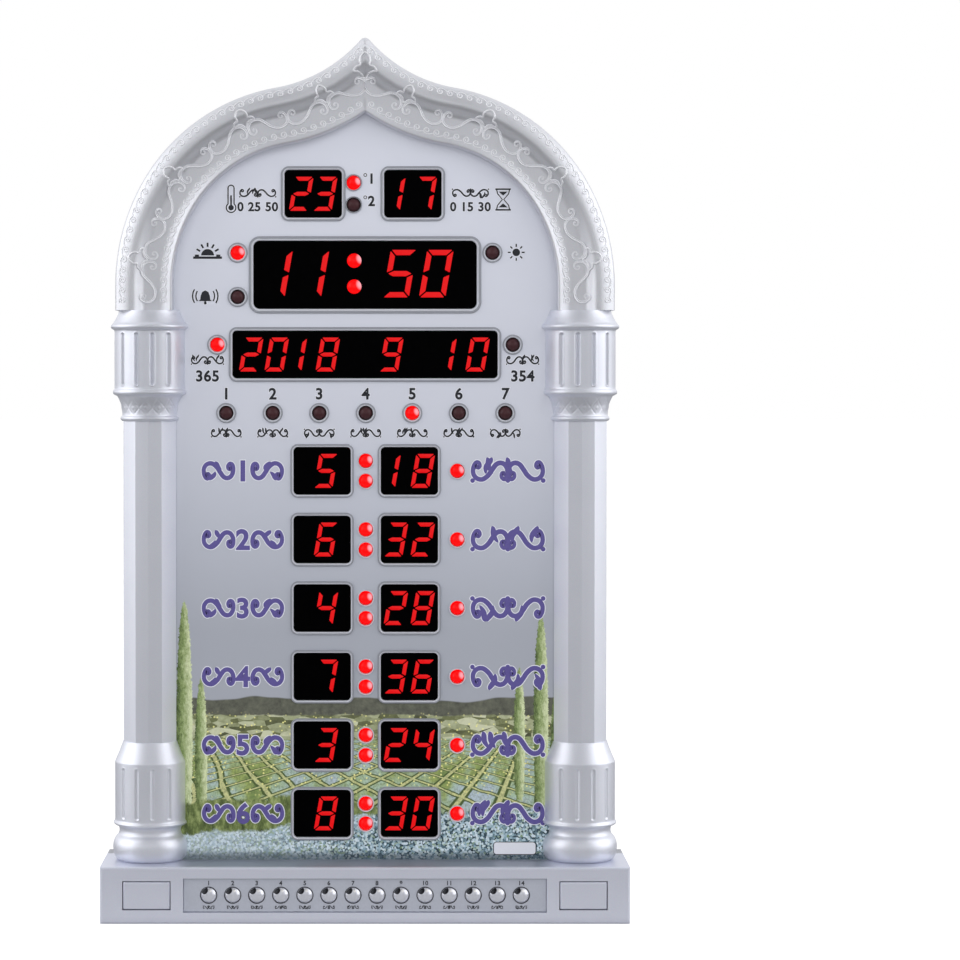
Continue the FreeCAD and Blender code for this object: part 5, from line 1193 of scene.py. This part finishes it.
SCREW_HEAD, SCREW_SHANK, SCREW_HEIGHT = 2.7, 1.35, 1.8
CROSS_ARM, CROSS_HALF, CROSS_DEPTH = 1.75, 0.42, 1.1
# (inset, depth) round the pan head
PAN_HEAD = [(0.0, SCREW_HEIGHT), (0.0, 0.9), (0.1, 0.55), (0.4, 0.22), (0.85, 0.02), (1.0, 0.0)]


def screw_places(node):
    """(x, z, tip, top) of each screw in a node: its axis and the y of its two ends."""
    found = []
    for vertex in node.data.vertices:
        x, y, z = (node.matrix_world @ vertex.co) / MM
        for group in found:
            if math.hypot(x - group[0][0], z - group[0][2]) < 8.0:
                group.append((x, y, z))
                break
        else:
            found.append([(x, y, z)])
    for group in found:
        (left, tip, low), (right, top, high) = ([pick(axis) for axis in zip(*group)] for pick in (min, max))
        yield (left + right) / 2, (low + high) / 2, tip, top


def cross_reach(turn):
    """How far out a cross reaches at a turn."""
    c, s = sorted((abs(math.cos(turn)), abs(math.sin(turn))), reverse=True)
    return CROSS_ARM / c if s / c < CROSS_HALF / CROSS_ARM else CROSS_HALF / s


def make_screws():
    """The cover's screws: a pan head with a cross recess, over a plain shank."""
    corner, quarter = math.atan2(CROSS_HALF, CROSS_ARM), math.pi / 2
    offsets = (0.0, corner, 0.5, quarter / 2, quarter - 0.5, quarter - corner)
    turns = [quarter * k + offset for k in range(4) for offset in offsets]
    shape = Shape()
    for x, z, tip, top in screw_places(NODES["case_screws"]):
        rounds = [(SCREW_SHANK, tip), (SCREW_SHANK, top - SCREW_HEIGHT)]
        rounds += [(SCREW_HEAD - inset, top - depth) for inset, depth in PAN_HEAD]
        reaches = [([radius] * len(turns), y) for radius, y in rounds]
        for share, y in ((1.0, top), (0.45, top - CROSS_DEPTH)):
            reaches.append(([share * cross_reach(turn) for turn in turns], y))
        loops = []
        for radii, y in reaches:
            spots = [polar((x, z), radius, turn) for radius, turn in zip(radii, turns)]
            loops.append([(px, y, pz) for px, pz in spots])
        shape.loops(loops)
    make_piece("case_screws_dressed", shape, "steel", sharp=35, replaced=["case_screws"])


make_screws()
make_plate("left_blank_plate", -1)
make_plate("right_blank_plate", 1)
make_row_marks()
make_dark_marks()
make_strip_marks()
make_bare_plate()

# ---------------------------------------------------------------- camera, light and stage

scene = bpy.context.scene
scene.view_settings.view_transform = "Standard"
EYE = Vector((2.9, -1203.5, 228.2)) * MM
LENS, SENSOR, TILT = 107.9, 36.0, math.radians(1.0435)
camera_data = bpy.data.cameras.new("camera")
camera_data.lens, camera_data.sensor_width = LENS, SENSOR
camera_data.shift_x, camera_data.shift_y = 0.1125, -0.06
camera_data.clip_end = 50.0
camera = bpy.data.objects.new("camera", camera_data)
camera.location = EYE
camera.rotation_euler = (math.pi / 2 - TILT, 0, 0)
scene.collection.objects.link(camera)
scene.camera = camera


def make_world():
    """White where the camera or a reflection sees it, and soft plain light elsewhere."""
    n = Nodes("studio", world=True)
    seen = n.add("LightPath", "Is Camera Ray")
    for ray in ("Is Glossy Ray", "Is Transmission Ray"):
        seen = n.math("MAXIMUM", seen, n.add("LightPath", ray))
    scene.world = n.settings(Color=(255, 255, 255), Strength=n.spread(seen, 0.40, 1.0))


def stage_plane(name, centre, across, up, material):
    """A flat sheet of the studio: centre and half-size vectors, in metres."""
    mesh = bpy.data.meshes.new(name)
    c, a, u = Vector(centre), Vector(across), Vector(up)
    mesh.from_pydata([c - a - u, c + a - u, c + a + u, c - a + u], [], [(0, 1, 2, 3)])
    mesh.materials.append(material)
    obj = bpy.data.objects.new(name, mesh)
    scene.collection.objects.link(obj)
    return obj


def make_floor():
    """A pale floor: lit by the lamps, so it keeps the shadow, and lifted to white where it is seen."""
    n = Nodes("floor_paper")
    lift = n.add("LightPath", "Is Camera Ray") * 0.85
    n.settings(Base_Color=n.mix(n.noise(30), (196, 196, 197), (202, 202, 203)), Roughness=0.9)
    n.settings(Specular_IOR_Level=0.0, Emission_Color=(255, 255, 255), Emission_Strength=lift)
    stage_plane("floor", (0, 0, 0), (12, 0, 0), (0, 12, 0), n.owner)


def make_card(name, centre, across, up, shade):
    """A card that only reflections see. shade is its brightness, or a function of its nodes."""
    n = Nodes(name)
    level = shade(n) if callable(shade) else shade
    n.settings(Base_Color=(0, 0, 0), Specular_IOR_Level=0.0)
    n.settings(Emission_Color=(255, 255, 255), Emission_Strength=level)
    card = stage_plane(name, centre, across, up, n.owner)
    card.visible_camera = card.visible_diffuse = card.visible_shadow = card.visible_transmission = False


def front_shade(n):
    """Grey behind the camera, dark round it."""
    x, _, z = n.axes()
    rise = (z - 200.0) * 0.55
    off = n.math("SQRT", x * x + rise * rise) * 0.00025
    return n.ramp(off, (0.0, 0.54), (0.11, 0.48), (0.19, 0.28), (0.25, 0.38), (0.35, 0.85), (0.45, 1.0))


def floor_shade(n):
    """Mid grey close in front of the plinth, dark further out."""
    return n.ramp(n.axes()[1] * -0.001, (0.02, 0.5), (0.12, 0.34), (0.25, 0.05), (0.8, 0.05), (1.0, 0.3))


def make_lamp(name, place, aim, size, power, mirrored):
    data = bpy.data.lights.new(name, "AREA")
    data.shape = "RECTANGLE"
    data.size, data.size_y = size
    data.energy = power
    obj = bpy.data.objects.new(name, data)
    obj.location = place
    obj.rotation_euler = (Vector(aim) - Vector(place)).to_track_quat("-Z", "Y").to_euler()
    obj.visible_glossy = mirrored
    scene.collection.objects.link(obj)


make_world()
make_floor()
make_card("front_card", (0, -1.6, 1.2), (3.2, 0, 0), (0, 0, 2.4), front_shade)
make_card("floor_card", (0, -0.823, 0.002), (1.6, 0, 0), (0, 0.8, 0), floor_shade)
make_card("ceiling_card", (0, -1.05, 1.7), (0.8, 0, 0), (0, 0.55, 0), 0.2)
MIDDLE = (0, 0, 0.18)
make_lamp("front", (0.0, -2.4, 0.6), MIDDLE, (2.4, 1.8), 30.6, mirrored=False)
make_lamp("key", (0.78, -1.02, 0.98), MIDDLE, (0.4, 0.4), 1.5, mirrored=False)
for hand, way in (("left", -1), ("right", 1)):
    make_card(f"{hand}_flag", (0.5 * way, -0.62, 1.0), (0.2, 0, 0), (0, -0.14, 0.14), 0.0)
    make_lamp(f"side_{hand}", (1.35 * way, -0.22, 0.4), (0, 0, 0.2), (1.45, 1.8), 9.0, mirrored=True)
